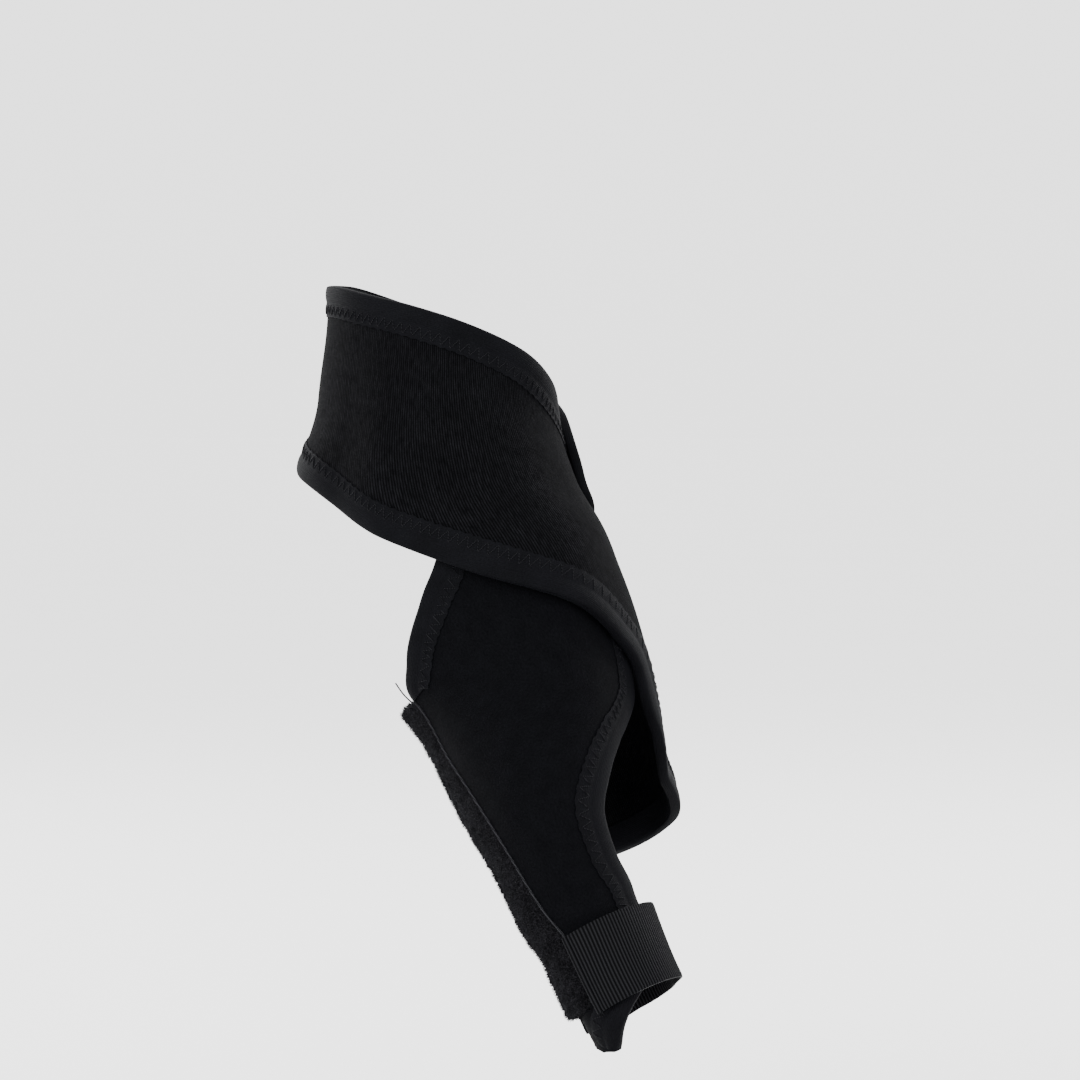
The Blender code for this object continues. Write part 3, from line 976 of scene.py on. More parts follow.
@dataclass
class EdgeBinding:
    """Tape folded over a cloth's edge, rolled at the rim and held by a zigzag row."""

    name: str
    boundary: Boundary
    width: float = 0.0090
    inner_width: float = 0.0080
    roll: float = 0.0045
    puff: float = 0.00034
    stitch: float = 0.0030
    pucker: float = 0.00016
    thread: float = 0.00015
    stitch_depths: tuple[float, float] = (0.0051, 0.0086)

    def __post_init__(self) -> None:
        """Sets the rise of the tape's middle over the middle of the cloth."""
        self.rise = self.boundary.cloth.wall / 2 + 0.00005 + LAYERS.tape / 2

    def outer_rise(self, run: Array, depth: Array) -> Array:
        """The tape's height on the outer face.

        Args:
            run: How far along the edge.
            depth: How far in from it.

        Returns:
            The rise over the middle of the cloth's wall.
        """
        bulge = np.sin(np.pi * np.clip(depth / self.roll, 0, 1)) ** 0.8 * self.puff
        inside = np.clip((depth - self.roll) / (self.width - self.roll), 0, 1)
        lump = 0.5 + 0.5 * np.cos(math.tau * run / self.stitch)
        sunk = 0.0001 * inside**3
        return self.rise + bulge + self.pucker * lump * np.sin(np.pi * inside) - sunk

    def tape(self, material: bpy.types.Material) -> bpy.types.Object:
        """The tape itself.

        Args:
            material: Its material.

        Returns:
            The piece.
        """
        run = self.boundary.run
        scallop = 0.0004 * (0.5 + 0.5 * np.cos(math.tau * run / self.stitch))
        columns: list[tuple[Array, Array]] = []
        for depth in np.linspace(self.inner_width, 0.0008, 5):
            columns.append((np.full_like(run, depth), np.full_like(run, -self.rise)))
        past = LAYERS.tape_gap + LAYERS.tape / 2
        for turn in np.radians(np.linspace(-70, 70, 8)):
            ahead, up = -past * np.cos(turn), self.rise * np.sin(turn)
            columns.append((np.full_like(run, ahead), np.full_like(run, up)))
        for share in (0.07, 0.2, 0.4, 0.6, 0.8, 0.95, 1.0):
            depth = np.full_like(run, self.roll * share)
            columns.append((depth, self.outer_rise(run, depth)))
        for share in (0.15, 0.35, 0.55, 0.75, 0.9, 1.0):
            depth = self.roll + (self.width + scallop - self.roll) * share
            columns.append((depth, self.outer_rise(run, depth)))
        narrow = self.boundary.squeeze(run, self.width)
        points = np.stack(
            [
                self.boundary.points(run, np.where(depth > 0, depth * narrow, depth), rise)
                for depth, rise in columns
            ],
            axis=1,
        )
        across = np.linalg.norm(np.diff(points, axis=1), axis=2)
        over = np.concatenate([np.zeros((len(run), 1)), np.cumsum(across, axis=1)], axis=1)
        uv = np.stack([np.broadcast_to(run[:, None], over.shape), over], axis=-1)
        made = grid_piece(self.name + "_tape", points, uv)
        middle = len(run) // 2
        level, angle = self.boundary.place(run[middle], np.array(self.width * 0.75))
        self.face_tape_out(made, points, middle, FORM.normals(level, angle))
        walled(made, LAYERS.tape, 0.0)
        return dress(made, material, "binding_tape", self.name)

    @staticmethod
    def face_tape_out(piece: bpy.types.Object, points: Array, row: int, outward: Array) -> None:
        """Turns the tape so that its faces look away from the cloth."""
        leg = points[row, -2] - points[row, -4]
        ahead = points[row + 1, -3] - points[row, -3]
        if np.dot(np.cross(leg, ahead), outward) < 0:
            activate(piece)
            bpy.ops.object.mode_set(mode="EDIT")
            bpy.ops.mesh.select_all(action="SELECT")
            bpy.ops.mesh.flip_normals()
            bpy.ops.object.mode_set(mode="OBJECT")

    def stitches(self, material: bpy.types.Material) -> bpy.types.Object:
        """The zigzag thread over the tape's inner part.

        Args:
            material: Its material.

        Returns:
            The piece.
        """
        half = self.stitch / 2
        starts = np.arange(half, self.boundary.length - self.stitch, half)
        share = np.array([0.0, 0.14, 0.5, 0.86, 1.0])
        lift = np.array([-0.00022, 0.00008, 0.00014, 0.00008, -0.00022])
        near, far = self.stitch_depths
        forth = (np.arange(len(starts)) % 2 == 0)[:, None]
        depth = np.where(forth, near + (far - near) * share, far + (near - far) * share)
        run = starts[:, None] + half * share
        rise = self.outer_rise(run, depth) + LAYERS.tape / 2 + lift
        depth = depth * self.boundary.squeeze(run, self.width)
        made = tubes(self.name + "_stitches", self.boundary.points(run, depth, rise), self.thread)
        return dress(made, material, "binding_tape")

    def build(
        self, tape: bpy.types.Material, thread: bpy.types.Material
    ) -> list[bpy.types.Object]:
        """Makes the tape and its stitches."""
        return [self.tape(tape), self.stitches(thread)]


@dataclass
class FootPanel:
    """The panel from under the wrap to the big toe, with its two bound edges."""

    step: float = 0.0013
    columns: int = 42
    corner: float = 4.0
    bar_last: float = 10.9
    loop_rung: float = 10.0
    tape_share: float = 0.42
    flat: tuple[float, float] = (0.084, 0.177)
    area: float = 0.0084
    crease: float = 0.0026
    crease_depth: float = 0.00016
    crease_reach: float = 0.0045
    rungs: tuple = (
        (-2, 0.290, 58, 0.160),
        (-11, 0.360, 66, 0.245),
        (-14, 0.430, 80, 0.320),
        (-13, 0.500, 106, 0.385),
        (-4, 0.550, 126, 0.427),
        (14, 0.605, 130, 0.490),
        (25, 0.665, 119, 0.570),
        (20, 0.720, 110, 0.660),
        (6, 0.770, 101, 0.745),
        (-2, 0.810, 93, 0.800),
        (10, 0.860, 94, 0.850),
        (34, 0.893, 98, 0.886),
        (60, 0.913, 130, 0.891),
        (82, 0.932, 162, 0.898),
        (94, 0.945, 156, 0.920),
        (102, 0.952, 130, 0.936),
    )

    def __post_init__(self) -> None:
        """Lays out the panel's rungs."""
        self.ladder = Ladder(self.rungs)
        places = self.ladder.even(0.0, self.ladder.last, self.step)
        self.cloth = Cloth(
            self.ladder.at(places), self.height, LAYERS.neoprene, relief=self.creases
        )
        self.corner_row = int(np.searchsorted(places, self.corner))
        self.places = places

    @staticmethod
    def height(angle: Array, level: Array) -> Array:
        """The height over the form of a piece that lies on the foot."""
        return np.full(np.broadcast(angle, level).shape, LAYERS.skin_gap)

    def creases(self, run: Array, over: Array) -> Array:
        """Short creases that the seam thread pulls into the cloth beside the bar.

        Args:
            run: How far along the panel.
            over: How far from its front edge.

        Returns:
            The cloth's rise.
        """
        from_seam = over[:, -1:] - over
        start = run[self.corner_row]
        along = smooth(0.0, 0.01, run - start) * np.exp(-((from_seam / self.crease_reach) ** 2))
        wave = np.sin(math.tau * run / self.crease + 1.7 * np.sin(run * 310))
        return self.crease_depth * along * wave

    def seam(self, place: Array) -> tuple[Array, Array]:
        """The level and angle of the seam on the bar at a place."""
        rungs = self.ladder.at(place)
        return rungs[..., 3], rungs[..., 2]

    def boundaries(self) -> tuple[Boundary, Boundary]:
        """The bound front edge and heel edge."""
        rungs = self.cloth.rungs
        end = int(np.searchsorted(self.places, self.ladder.last - 0.1))
        across = self.cloth.points(np.linspace(0, 1, 9))[:end]
        room = np.linalg.norm(np.diff(across, axis=1), axis=2).sum(1) * self.tape_share
        front = Boundary(self.cloth, rungs[:end, 1], rungs[:end, 0], room)
        corner = self.corner_row + 1
        heel = Boundary(self.cloth, rungs[:corner, 3], rungs[:corner, 2])
        middle = FORM.at((rungs[0, 1] + rungs[0, 3]) / 2, (rungs[0, 0] + rungs[0, 2]) / 2)
        return front.turn_inward(middle), heel.turn_inward(middle)

    def build(
        self, cloth: bpy.types.Material, tape: bpy.types.Material, thread: bpy.types.Material
    ) -> bpy.types.Object:
        """Makes the panel and its bindings.

        Args:
            cloth: The panel's material.
            tape: The tape's.
            thread: The stitches'.

        Returns:
            The panel.
        """
        piece = dress(
            self.cloth.piece("foot_panel_cloth", self.columns, 0.0005),
            cloth,
            "smooth_neoprene",
            "foot_panel",
        )
        front, heel = self.boundaries()
        trim = EdgeBinding("panel_front_binding", front).build(tape, thread)
        trim += EdgeBinding("panel_heel_binding", heel).build(tape, thread)
        LOG.info("foot_panel length, width and area: %.4f %.4f %.5f", *self.cloth.size())
        return piece


@dataclass
class AnkleWrap:
    """The wrap: from the bar under the arch, over the instep and round the ankle onto itself."""

    panel: FootPanel
    step: float = 0.0016
    columns: int = 44
    tail_corner: float = 0.012
    flat: tuple[float, float] = (0.125, 0.385)
    area: float = 0.0266
    heel_ramp: tuple[float, float] = (80, 108)
    front_ramp: tuple[float, float] = (-20, -40)
    top_ramp: tuple[float, float] = (0.04, 0.28)
    tail_ramp: tuple[float, float] = (245, 280)
    rungs: tuple = (
        (-192, 0.460, -174, 0.690),
        (-150, 0.390, -150, 0.685),
        (-100, 0.285, -108, 0.680),
        (-60, 0.140, -68, 0.670),
        (-26, 0.010, -40, 0.635),
        (-4, -0.040, -18, 0.540),
        (12, -0.070, -10, 0.455),
        (34, -0.100, 14, 0.385),
        (62, -0.130, 46, 0.315),
        (95, -0.153, 84, 0.210),
        (135, -0.168, 128, 0.125),
        (180, -0.170, 180, 0.095),
        (228, -0.140, 228, 0.110),
        (276, -0.055, 276, 0.175),
        (328, 0.055, 328, 0.235),
    )

    def __post_init__(self) -> None:
        """Lays out the wrap's rungs, with round corners at its loose end."""
        ladder = Ladder(self.rungs)
        near = 0.1
        ends = ladder.at(np.array([ladder.last - near, ladder.last]))
        middles = FORM.at(ends[:, [1, 3]].mean(1), ends[:, [0, 2]].mean(1))
        pace = float(np.linalg.norm(middles[1] - middles[0])) / near
        straight = ladder.at(ladder.even(0.0, ladder.last - self.tail_corner / pace, self.step))
        for i in (0, 2):
            level = straight[0, i + 1]
            straight[0, i] = (
                FORM.moved_angle(level, SideSplint.lower_angle(level), 2 * LAYERS.seam_gap) - 360
            )
        turns = np.radians(np.linspace(82, 0, 12))
        run = self.tail_corner * (1 - np.cos(turns))
        inset = self.tail_corner * (1 - np.sin(turns))
        tail = narrowed(ladder.at(ladder.last - run / pace), inset)
        self.cloth = Cloth(np.concatenate([straight, tail]), self.height, LAYERS.neoprene)

    def over_panel(self, angle: Array, level: Array) -> Array:
        """How fully the wrap lies over the panel at a place, from 0 to 1."""
        first = self.panel.rungs[0]
        along = smooth(first[0], first[2], angle)
        top = first[1] + (first[3] - first[1]) * along
        front = smooth(self.front_ramp[1], self.front_ramp[0], angle)
        heel = smooth(self.heel_ramp[1], self.heel_ramp[0], angle)
        upper = smooth(0.0, 1.0, (level - top + self.top_ramp[1]) / (self.top_ramp[1] - self.top_ramp[0]))
        return front * heel * upper

    def height(self, angle: Array, level: Array) -> Array:
        """The inner face's height: raised over the panel, and where the end lies on the wrap."""
        on_itself = smooth(*self.tail_ramp, angle)
        below = self.over_panel(angle, level) + on_itself * self.over_panel(angle - 360, level)
        return LAYERS.skin_gap + LAYERS.step * (below + on_itself)

    def boundary(self, edge: Edge) -> Boundary:
        """The bound edge, on round the corner to the middle of the loose end."""
        rungs = self.cloth.rungs
        column = 2 * edge.value
        shares = np.linspace(edge.value, 0.5, 40)[1:]
        last = rungs[-1]
        levels = np.concatenate([rungs[:, column + 1], last[1] + (last[3] - last[1]) * shares])
        angles = np.concatenate([rungs[:, column], last[0] + (last[2] - last[0]) * shares])
        middle = FORM.at((rungs[0, 1] + rungs[0, 3]) / 2, (rungs[0, 0] + rungs[0, 2]) / 2)
        return Boundary(self.cloth, levels, angles).turn_inward(middle)

    def build(
        self, cloth: bpy.types.Material, tape: bpy.types.Material, thread: bpy.types.Material
    ) -> bpy.types.Object:
        """Makes the wrap and its bindings.

        Args:
            cloth: The wrap's material.
            tape: The tape's.
            thread: The stitches'.

        Returns:
            The wrap.
        """
        piece = dress(
            self.cloth.piece("ankle_wrap_cloth", self.columns, 0.0005),
            cloth,
            "knitted_neoprene",
            "ankle_wrap",
        )
        upper = EdgeBinding("wrap_upper_binding", self.boundary(Edge.FIRST))
        lower = EdgeBinding("wrap_lower_binding", self.boundary(Edge.SECOND))
        trim = upper.build(tape, thread) + lower.build(tape, thread)
        LOG.info("ankle_wrap length, width and area: %.4f %.4f %.5f", *self.cloth.size())
        return piece


@dataclass
class SideSplint:
    """The padded bar along the inner edge of the foot, in brushed plush."""

    panel: FootPanel
    padding: float = 0.0060
    rim: float = 0.0024
    bulge: float = 0.7
    corner_radius: float = 0.009
    seam_corner: float = 0.004
    tuck: float = -0.0003
    step: float = 0.0013
    columns: int = 18
    voxel: float = 0.0010
    held_height: float = 0.0012
    most_swell: float = 0.0010
    pressure: float = 6.0
    frames: int = 20
    lump: float = 0.0045
    lump_depth: float = 0.0011
    fibres: int = 15000
    fibre_length: tuple[float, float] = (0.0007, 0.0014)
    fibre_radius: float = 0.00008
    lower_edge: tuple = ((0.430, 165), (0.930, 205))

    @classmethod
    def lower_angle(cls, level: float) -> float:
        """The angle of the bar's lower edge at a level."""
        (heel_level, heel_angle), (toe_level, toe_angle) = cls.lower_edge
        share = (level - heel_level) / (toe_level - heel_level)
        return heel_angle + (toe_angle - heel_angle) * share

    def thickness(self, across: Array) -> Array:
        """The padding at a share of the width from the seam to the lower edge."""
        bulge = np.sin(np.pi * np.clip(across, 0.0, 1.0)) ** self.bulge
        return self.rim + (self.padding - self.rim) * bulge

    def loop_seam(self) -> float:
        """The angle of the seam under the middle of the toe loop."""
        return float(self.panel.seam(np.array(self.panel.loop_rung))[1])

    def top(self, angle: Array, level: Array) -> Array:
        """The bar's outer face under the toe, at an angle counted down past -180."""
        seam, lower = self.loop_seam(), self.lower_angle(level)
        return LAYERS.skin_gap + self.thickness((angle + 360 - seam) / (lower - seam))

    @staticmethod
    def drawn_in(run: Array, radius: float) -> Array:
        """How far a round corner draws the edge in at a run from the end."""
        short = np.maximum(radius - run, 0.0)
        return radius - np.sqrt(radius**2 - short**2)

    def stations(self) -> Array:
        """The bar's rungs, from the seam to its lower edge, with round corners."""
        places = self.panel.ladder.even(self.panel.corner, self.panel.bar_last, self.step)
        levels, angles = self.panel.seam(places)
        points = FORM.at(levels, angles)
        run = np.minimum(
            np.linalg.norm(points - points[0], axis=1), np.linalg.norm(points - points[-1], axis=1)
        )
        starts = [
            FORM.moved_angle(level, angle, self.tuck + drawn)
            for level, angle, drawn in zip(levels, angles, self.drawn_in(run, self.seam_corner))
        ]
        ends = [
            FORM.moved_angle(level, self.lower_angle(level), -drawn)
            for level, drawn in zip(levels, self.drawn_in(run, self.corner_radius))
        ]
        return np.stack([starts, levels, ends, levels], axis=1)

    def pad(self) -> bpy.types.Object:
        """The pad before it swells, remeshed so that its faces are even."""
        rungs = self.stations()
        shares = np.linspace(0, 1, self.columns + 1)
        levels = rungs[:, [1]] + (rungs[:, [3]] - rungs[:, [1]]) * shares
        angles = rungs[:, [0]] + (rungs[:, [2]] - rungs[:, [0]]) * shares
        base = FORM.raised(levels, angles, np.full(levels.shape, LAYERS.skin_gap))
        out = FORM.normals(levels, angles)
        self.under = (base.reshape(-1, 3), out.reshape(-1, 3))
        piece = grid_piece("side_splint_pad", base)
        face_out(piece, out[len(levels) // 2, self.columns // 2])
        weights = np.broadcast_to(self.thickness(shares) / self.padding, levels.shape)
        group = piece.vertex_groups.new(name="padding")
        for i, weight in enumerate(weights.ravel()):
            group.add([i], float(weight), "REPLACE")
        solid = piece.modifiers.new("padding", "SOLIDIFY")
        solid.thickness = self.padding
        solid.offset = 1.0
        solid.vertex_group = group.name
        remesh = piece.modifiers.new("even", "REMESH")
        remesh.mode = "VOXEL"
        remesh.voxel_size = self.voxel
        relax = piece.modifiers.new("relax", "SMOOTH")
        relax.iterations = 4
        apply_modifiers(piece)
        return piece

    def heights(self, points: Array) -> Array:
        """How far points of the bar stand over its foot side."""
        base, out = self.under
        found = []
        for part in np.array_split(points, math.ceil(len(points) / 1000)):
            near = ((part[:, None] - base) ** 2).sum(2).argmin(1)
            found.append(((part - base[near]) * out[near]).sum(1))
        return np.concatenate(found)

    def swell(self, piece: bpy.types.Object) -> None:
        """Swells the pad by a cloth simulation under pressure, held along its foot side.

        Args:
            piece: The remeshed pad.
        """
        before = np.empty(len(piece.data.vertices) * 3)
        piece.data.vertices.foreach_get("co", before)
        before = before.reshape(-1, 3)
        held = np.flatnonzero(self.heights(before) < self.held_height)
        group = piece.vertex_groups.new(name="held")
        group.add([int(i) for i in held], 1.0, "REPLACE")
        cloth = piece.modifiers.new("swell", "CLOTH")
        settings = cloth.settings
        settings.quality = 5
        settings.mass = 0.001
        settings.tension_stiffness = settings.compression_stiffness = 8.0
        settings.shear_stiffness = 3.0
        settings.bending_stiffness = 0.2
        settings.use_pressure = True
        settings.uniform_pressure_force = self.pressure
        settings.vertex_group_mass = group.name
        settings.effector_weights.gravity = 0.0
        cloth.collision_settings.use_collision = False
        for frame_number in range(1, self.frames + 1):
            bpy.context.scene.frame_set(frame_number)
        apply_modifiers(piece)
        bpy.context.scene.frame_set(1)
        after = np.empty(len(piece.data.vertices) * 3)
        piece.data.vertices.foreach_get("co", after)
        move = after.reshape(-1, 3) - before
        far = np.linalg.norm(move, axis=1, keepdims=True)
        LOG.info("side_splint_pad swells by up to %.2f mm", far.max() / MM)
        move *= np.minimum(1.0, self.most_swell / np.maximum(far, 1e-9))
        piece.data.vertices.foreach_set("co", (before + move).ravel())
        piece.data.update()

    def fluff(self, piece: bpy.types.Object) -> None:
        """Gives the pad the soft lumps of brushed plush."""
        clouds = bpy.data.textures.new("plush_lumps", "CLOUDS")
        clouds.noise_scale = self.lump
        clouds.noise_depth = 2
        lumps = piece.modifiers.new("lumps", "DISPLACE")
        lumps.texture = clouds
        lumps.texture_coords = "LOCAL"
        lumps.strength = self.lump_depth
        lumps.mid_level = 0.55
        finer = piece.modifiers.new("finer", "SUBSURF")
        finer.levels = finer.render_levels = 1
        apply_modifiers(piece)

    def nap(self, piece: bpy.types.Object) -> bpy.types.Object:
        """The raised fibres, as fine closed spikes.

        Args:
            piece: The finished pad.

        Returns:
            The fibres' mesh.
        """
        rng = np.random.default_rng(11)
        mesh = piece.data
        centres = np.empty(len(mesh.polygons) * 3)
        outs = np.empty(len(mesh.polygons) * 3)
        areas = np.empty(len(mesh.polygons))
        mesh.polygons.foreach_get("center", centres)
        mesh.polygons.foreach_get("normal", outs)
        mesh.polygons.foreach_get("area", areas)
        centres, outs = centres.reshape(-1, 3), outs.reshape(-1, 3)
        areas = areas * (self.heights(centres) > self.held_height)
        chosen = rng.choice(len(centres), self.fibres, p=areas / areas.sum())
        spread = np.sqrt(areas[chosen])[:, None] * rng.uniform(-0.5, 0.5, (self.fibres, 3))
        out = outs[chosen]
        root = centres[chosen] + spread - out * (spread * out).sum(1, keepdims=True) - 0.0001 * out
        lean = rng.normal(0, 0.55, (self.fibres, 3))
        way = unit(out + lean)
        bend = unit(out + lean + rng.normal(0, 0.8, (self.fibres, 3)))
        length = rng.uniform(*self.fibre_length, (self.fibres, 1))
        side = unit(np.cross(way, rng.normal(0, 1, (self.fibres, 3))))
        other = np.cross(way, side)
        rings = []
        for centre, thick in ((root, 1.0), (root + way * length * 0.55, 0.75)):
            for turn in np.radians((0, 120, 240)):
                rings.append(centre + self.fibre_radius * thick * (side * np.cos(turn) + other * np.sin(turn)))
        tip = root + way * length * 0.55 + bend * length * 0.45
        verts = np.stack([*rings, tip], axis=1)
        local = [(0, 2, 1), (0, 1, 4, 3), (1, 2, 5, 4), (2, 0, 3, 5), (3, 4, 6), (4, 5, 6), (5, 3, 6)]
        faces = [
            tuple(7 * i + corner for corner in face) for i in range(self.fibres) for face in local
        ]
        made = bpy.data.meshes.new("side_splint_nap")
        made.from_pydata(verts.reshape(-1, 3), [], faces)
        piece = bpy.data.objects.new("side_splint_nap", made)
        bpy.context.scene.collection.objects.link(piece)
        return piece

    def build(self, plush: bpy.types.Material, nap: bpy.types.Material) -> bpy.types.Object:
        """Makes the bar and its nap.

        Args:
            plush: The bar's material.
            nap: The fibres'.

        Returns:
            The bar.
        """
        piece = self.pad()
        self.swell(piece)
        self.fluff(piece)
        fibres = self.nap(piece)
        dress(piece, plush, "plush_loop", "side_splint")
        dress(fibres, nap, "plush_loop")
        return piece


@dataclass
class ToeStrap:
    """The ribbed webbing round the big toe, with the hook pad that holds its end to the bar."""

    bar: SideSplint
    level: float = 0.850
    width: float = 0.025
    webbing: float = 0.0012
    end: float = -176
    rib: float = 0.00105
    rib_depth: float = 0.00018
    fold: float = 0.0022
    fold_rise: float = 0.0009
    step: float = 0.00013
    columns: int = 16
    top_ramp: tuple[float, float] = (-14, -48)
    bar_ramp: tuple[float, float] = (-118, -146)
    hook_turn: tuple[float, float] = (-163, -175)
    hook_share: float = 0.8
    hook_pad: float = 0.0009
    flat: tuple[float, float] = (0.025, 0.084)

    def height(self, angle: Array, level: Array) -> Array:
        """The inner face: over the panel on top, on the toe at its side, on the bar below."""
        on_panel = LAYERS.neoprene + LAYERS.tape_gap + LAYERS.tape + LAYERS.layer_gap
        top = on_panel * smooth(self.top_ramp[1], self.top_ramp[0], angle)
        under = self.bar.top(angle, level) + 2 * LAYERS.layer_gap + self.hook_pad - LAYERS.skin_gap
        return LAYERS.skin_gap + top + under * smooth(*self.bar_ramp, angle)

    def stations(self, start: float, end: float, width: float, count: int) -> Array:
        """Rungs of even width round the toe."""
        probe = 0.01
        along = FORM.at(self.level + probe, 90) - FORM.at(self.level - probe, 90)
        half = width * probe / np.linalg.norm(along)
        angles = np.linspace(start, end, count)
        lower, upper = np.full(count, self.level - half), np.full(count, self.level + half)
        return np.stack([angles, lower, angles, upper], axis=1)

    def strap(self, material: bpy.types.Material) -> bpy.types.Object:
        """The webbing with its ribs and its folded end.

        Args:
            material: Its material.

        Returns:
            The piece.
        """
        start = self.bar.loop_seam()
        coarse = Cloth(self.stations(start, self.end, self.width, 240), self.height, self.webbing)
        run = np.concatenate(
            [[0.0], np.cumsum(np.linalg.norm(np.diff(coarse.points([0.5])[:, 0], axis=0), axis=1))]
        )
        count = int(run[-1] / self.step)
        even = np.linspace(0, run[-1], count)
        angles = np.interp(even, run, coarse.rungs[:, 0])
        rungs = np.stack(
            [angles, np.full(count, coarse.rungs[0, 1]), angles, np.full(count, coarse.rungs[0, 3])], 1
        )
        cloth = Cloth(rungs, self.height, self.webbing)
        shares = 0.5 - 0.5 * np.cos(np.pi * np.linspace(0, 1, self.columns + 1))
        shares = 0.45 * shares + 0.55 * np.linspace(0, 1, self.columns + 1)
        points = cloth.points(shares)
        levels, angles = cloth.places(shares)
        run, over = even[:, None], shares[None, :] * self.width
        ribs = np.abs(np.sin(np.pi * run / self.rib)) ** 0.7 * self.rib_depth
        folded = np.clip(1 - run / self.fold, 0, 1)
        ribs = ribs * smooth(self.fold * 0.8, self.fold * 1.2, run)
        selvedge = smooth(0.0, 0.0007, np.minimum(over, self.width - over))
        tip = np.sqrt(np.clip(1 - (1 - np.clip(run / 0.0006, 0, 1)) ** 2, 0.05, 1))
        thick = (self.webbing - 2 * self.rib_depth + 2 * ribs) * (0.7 + 0.3 * selvedge)
        thick = (thick + self.fold_rise * np.sin(np.pi * folded) ** 0.5) * tip
        most = float(thick.max())
        made = grid_piece(
            "toe_strap_webbing", points, np.stack([run + 0 * over, over + 0 * run], axis=-1)
        )
        middle = (count // 2, self.columns // 2)
        face_out(made, FORM.normals(levels[middle], angles[middle]))
        walled(made, most, 0.0, thick / most)
        LOG.info("toe_strap length: %.4f", even[-1])
        return dress(made, material, "ribbed_webbing", "toe_strap")

    def hook_tab(self, material: bpy.types.Material) -> bpy.types.Object:
        """The hook pad between the strap's end and the bar."""

        def height(angle: Array, level: Array) -> Array:
            """The pad's inner face."""
            return self.bar.top(angle, level) + LAYERS.layer_gap

        rungs = self.stations(*self.hook_turn, self.width * self.hook_share, 24)
        made = Cloth(rungs, height, self.hook_pad).piece("toe_hook_pad", 20, 0.0002)
        return dress(made, material, "hook_pad", "toe_hook_tab")

    def build(self, webbing: bpy.types.Material, hooks: bpy.types.Material) -> bpy.types.Object:
        """Makes the strap and its hook pad.

        Args:
            webbing: The strap's material.
            hooks: The pad's.

        Returns:
            The strap.
        """
        piece = self.strap(webbing)
        tab = self.hook_tab(hooks)
        return piece


@dataclass
class SeamCord:
    """The thin cord over the joint of panel and bar, with the loose tail of its thread."""

    panel: FootPanel
    radius: float = 0.00042
    sunk: float = 0.00020
    twist: float = 0.0016
    tail: tuple = (
        (0.0, 0.0, 0.0),
        (-0.0018, -0.0014, 0.0014),
        (-0.0040, -0.0024, 0.0038),
        (-0.0064, -0.0026, 0.0068),
    )

    def build(self, material: bpy.types.Material) -> bpy.types.Object:
        """Makes the cord of two plies and its tail.

        Args:
            material: The thread's material.

        Returns:
            The cord.
        """
        places = self.panel.ladder.even(self.panel.corner + 0.12, self.panel.bar_last, 0.0004)
        levels, angles = self.panel.seam(places)
        out = FORM.normals(levels, angles)
        height = LAYERS.skin_gap + LAYERS.neoprene + self.radius - self.sunk
        line = FORM.raised(levels, angles, np.full(levels.shape, height))
        along = unit(np.gradient(line, axis=0))
        side = np.cross(out, along)
        run = np.concatenate([[0.0], np.cumsum(np.linalg.norm(np.diff(line, axis=0), axis=1))])
        plies = []
        for start in (0.0, math.pi):
            turn = (math.tau * run / self.twist + start)[:, None]
            plies.append(line + 0.45 * self.radius * (np.cos(turn) * out + np.sin(turn) * side))
        tail = np.array(self.tail) + line[0]
        keys = np.linspace(0, 1, len(tail))
        fine = np.linspace(0, 1, 16)
        loose = np.stack([Curve(keys, tail[:, i]).at(fine) for i in range(3)], axis=-1)
        made = tubes("seam_cord_thread", plies, self.radius * 0.62, 1)
        end = tubes("thread_tail", [loose], self.radius * 0.62, 1)
        dress(end, material, "seam_cord")
        return dress(made, material, "seam_cord", "seam_cord")


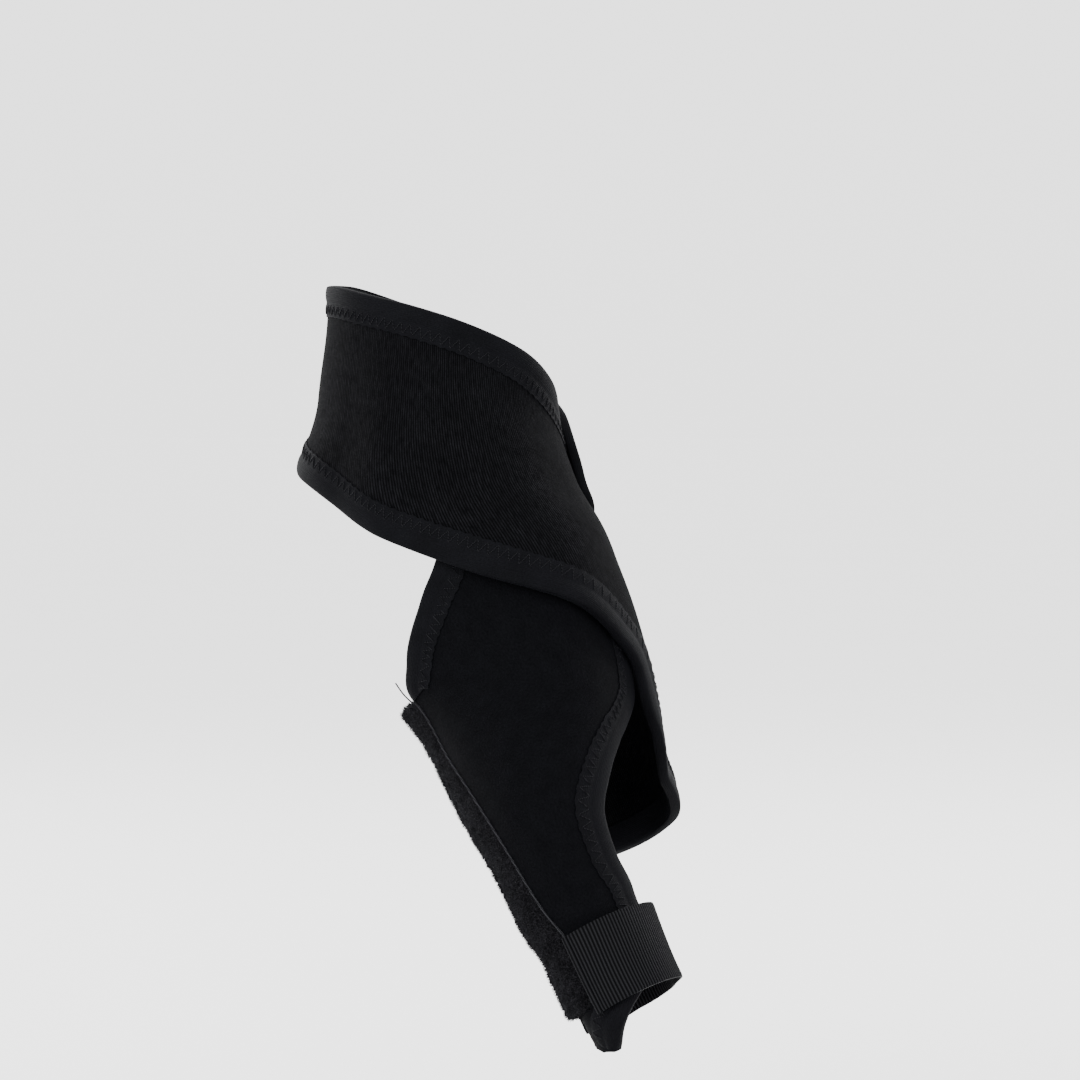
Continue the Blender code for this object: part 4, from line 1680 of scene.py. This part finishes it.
@dataclass
class Studio:
    """Floor, soft light and camera."""

    azimuth: float = 30.0
    elevation: float = 2.0
    distance: float = 1.2
    lens: float = 127.0
    sensor: float = 36.0
    picture: int = 1080
    axis_at: tuple[int, int] = (443, 400)
    floor_gap: float = 0.06
    floor_radius: float = 30.0
    sky: tuple[float, float] = (2.45, 3.0)

    def camera_frame(self) -> tuple[Vector, Vector, Vector]:
        """The directions back to the camera, to its right and up."""
        turn, rise = math.radians(self.azimuth), math.radians(self.elevation)
        back = Vector(
            (math.sin(turn) * math.cos(rise), -math.cos(turn) * math.cos(rise), math.sin(rise))
        )
        right = Vector((math.cos(turn), math.sin(turn), 0))
        return back, right, back.cross(right)

    def camera(self) -> None:
        """Sets the camera so that the ankle's axis falls on its place in the photograph."""
        back, right, up = self.camera_frame()
        pixel = self.sensor * self.distance / self.lens / self.picture
        half = self.picture / 2
        aim = right * (half - self.axis_at[0]) * pixel + up * (self.axis_at[1] - half) * pixel
        aim -= back * back.dot(aim)
        data = bpy.data.cameras.new("camera")
        data.lens, data.sensor_width = self.lens, self.sensor
        data.clip_start, data.clip_end = 0.05, 100.0
        camera = bpy.data.objects.new("camera", data)
        bpy.context.scene.collection.objects.link(camera)
        place = Matrix((right, up, back)).transposed().to_4x4()
        place.translation = aim + back * self.distance
        camera.matrix_world = place
        bpy.context.scene.camera = camera

    def lamp(self, name: str, place: Colour, size: float, power: float, centre: Vector) -> None:
        """A soft lamp, placed by how far it is to the camera's right, up and towards it.

        Args:
            name: The lamp's name.
            place: Its offsets from the object in metres.
            size: Its side in metres.
            power: Its power in watts.
            centre: What it lights.
        """
        back, right, up = self.camera_frame()
        data = bpy.data.lights.new(name, "AREA")
        data.size, data.energy = size, power
        lamp = bpy.data.objects.new(name, data)
        bpy.context.scene.collection.objects.link(lamp)
        offset = right * place[0] + up * place[1] + back * place[2]
        lamp.location = centre + offset
        lamp.rotation_mode = "QUATERNION"
        lamp.rotation_quaternion = (-offset).to_track_quat("-Z", "Y")

    def world(self) -> None:
        """An even, bright sky that is a little brighter overhead."""
        world = bpy.data.worlds.new("studio_sky")
        world.use_nodes = True
        bpy.context.scene.world = world
        tree = world.node_tree
        shade = tree.nodes["Background"]
        way = tree.nodes.new("ShaderNodeTexCoord")
        split = tree.nodes.new("ShaderNodeSeparateXYZ")
        rise = tree.nodes.new("ShaderNodeMapRange")
        rise.inputs["To Min"].default_value = self.sky[0]
        rise.inputs["To Max"].default_value = self.sky[1]
        tree.links.new(way.outputs["Generated"], split.inputs[0])
        tree.links.new(split.outputs[2], rise.inputs["Value"])
        tree.links.new(rise.outputs[0], shade.inputs["Strength"])
        shade.inputs["Color"].default_value = (1.0, 1.0, 1.0, 1.0)

    def build(self, low: Vector, high: Vector) -> None:
        """Sets up the studio.

        Args:
            low: The object's lowest corner.
            high: Its highest corner.
        """
        deselect()
        bpy.ops.mesh.primitive_circle_add(
            vertices=96,
            radius=self.floor_radius,
            fill_type="NGON",
            location=(0, 0, low.z - self.floor_gap),
        )
        floor = bpy.context.object
        floor.name = "studio_floor"
        floor.data.materials.append(FloorFinish().make())
        floor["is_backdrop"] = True
        self.camera()
        self.world()
        centre = (low + high) / 2
        self.lamp("key", (-0.9, 0.9, 1.1), 0.9, 26, centre)
        self.lamp("fill", (1.2, 0.3, 0.8), 1.0, 10, centre)
        self.lamp("rim_left", (-1.1, 0.5, -0.9), 0.7, 14, centre)
        self.lamp("rim_right", (1.1, 0.6, -0.9), 0.7, 14, centre)
        LOG.info("studio ready")


def main() -> None:
    """Builds the splint's looks and the studio."""
    logging.basicConfig(level=logging.INFO, format="%(message)s")
    cad_low, cad_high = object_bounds()
    deselect()

    tape = TapeFinish().make()
    stitch = ThreadFinish("stitch_thread").make()
    panel = FootPanel()
    panel.build(NeopreneFinish().make(), tape, stitch)
    AnkleWrap(panel).build(KnitFinish().make(), tape, stitch)
    bar = SideSplint(panel)
    bar.build(
        PlushFinish("plush_cloth").make(),
        # The nap fibres get a lighter copy of the plush colour: a painted glint where their tips catch the
        # light.
        PlushFinish("plush_nap_glint", (0.0008, 0.0008, 0.0010), (0.0200, 0.0196, 0.0215)).make(),
    )
    ToeStrap(bar).build(WebbingFinish().make(), HookFinish().make())
    SeamCord(panel).build(
        ThreadFinish("seam_thread", (0.005, 0.005, 0.006), (0.019, 0.019, 0.021)).make()
    )
    Studio().build(cad_low, cad_high)


if __name__ == "__main__":
    main()
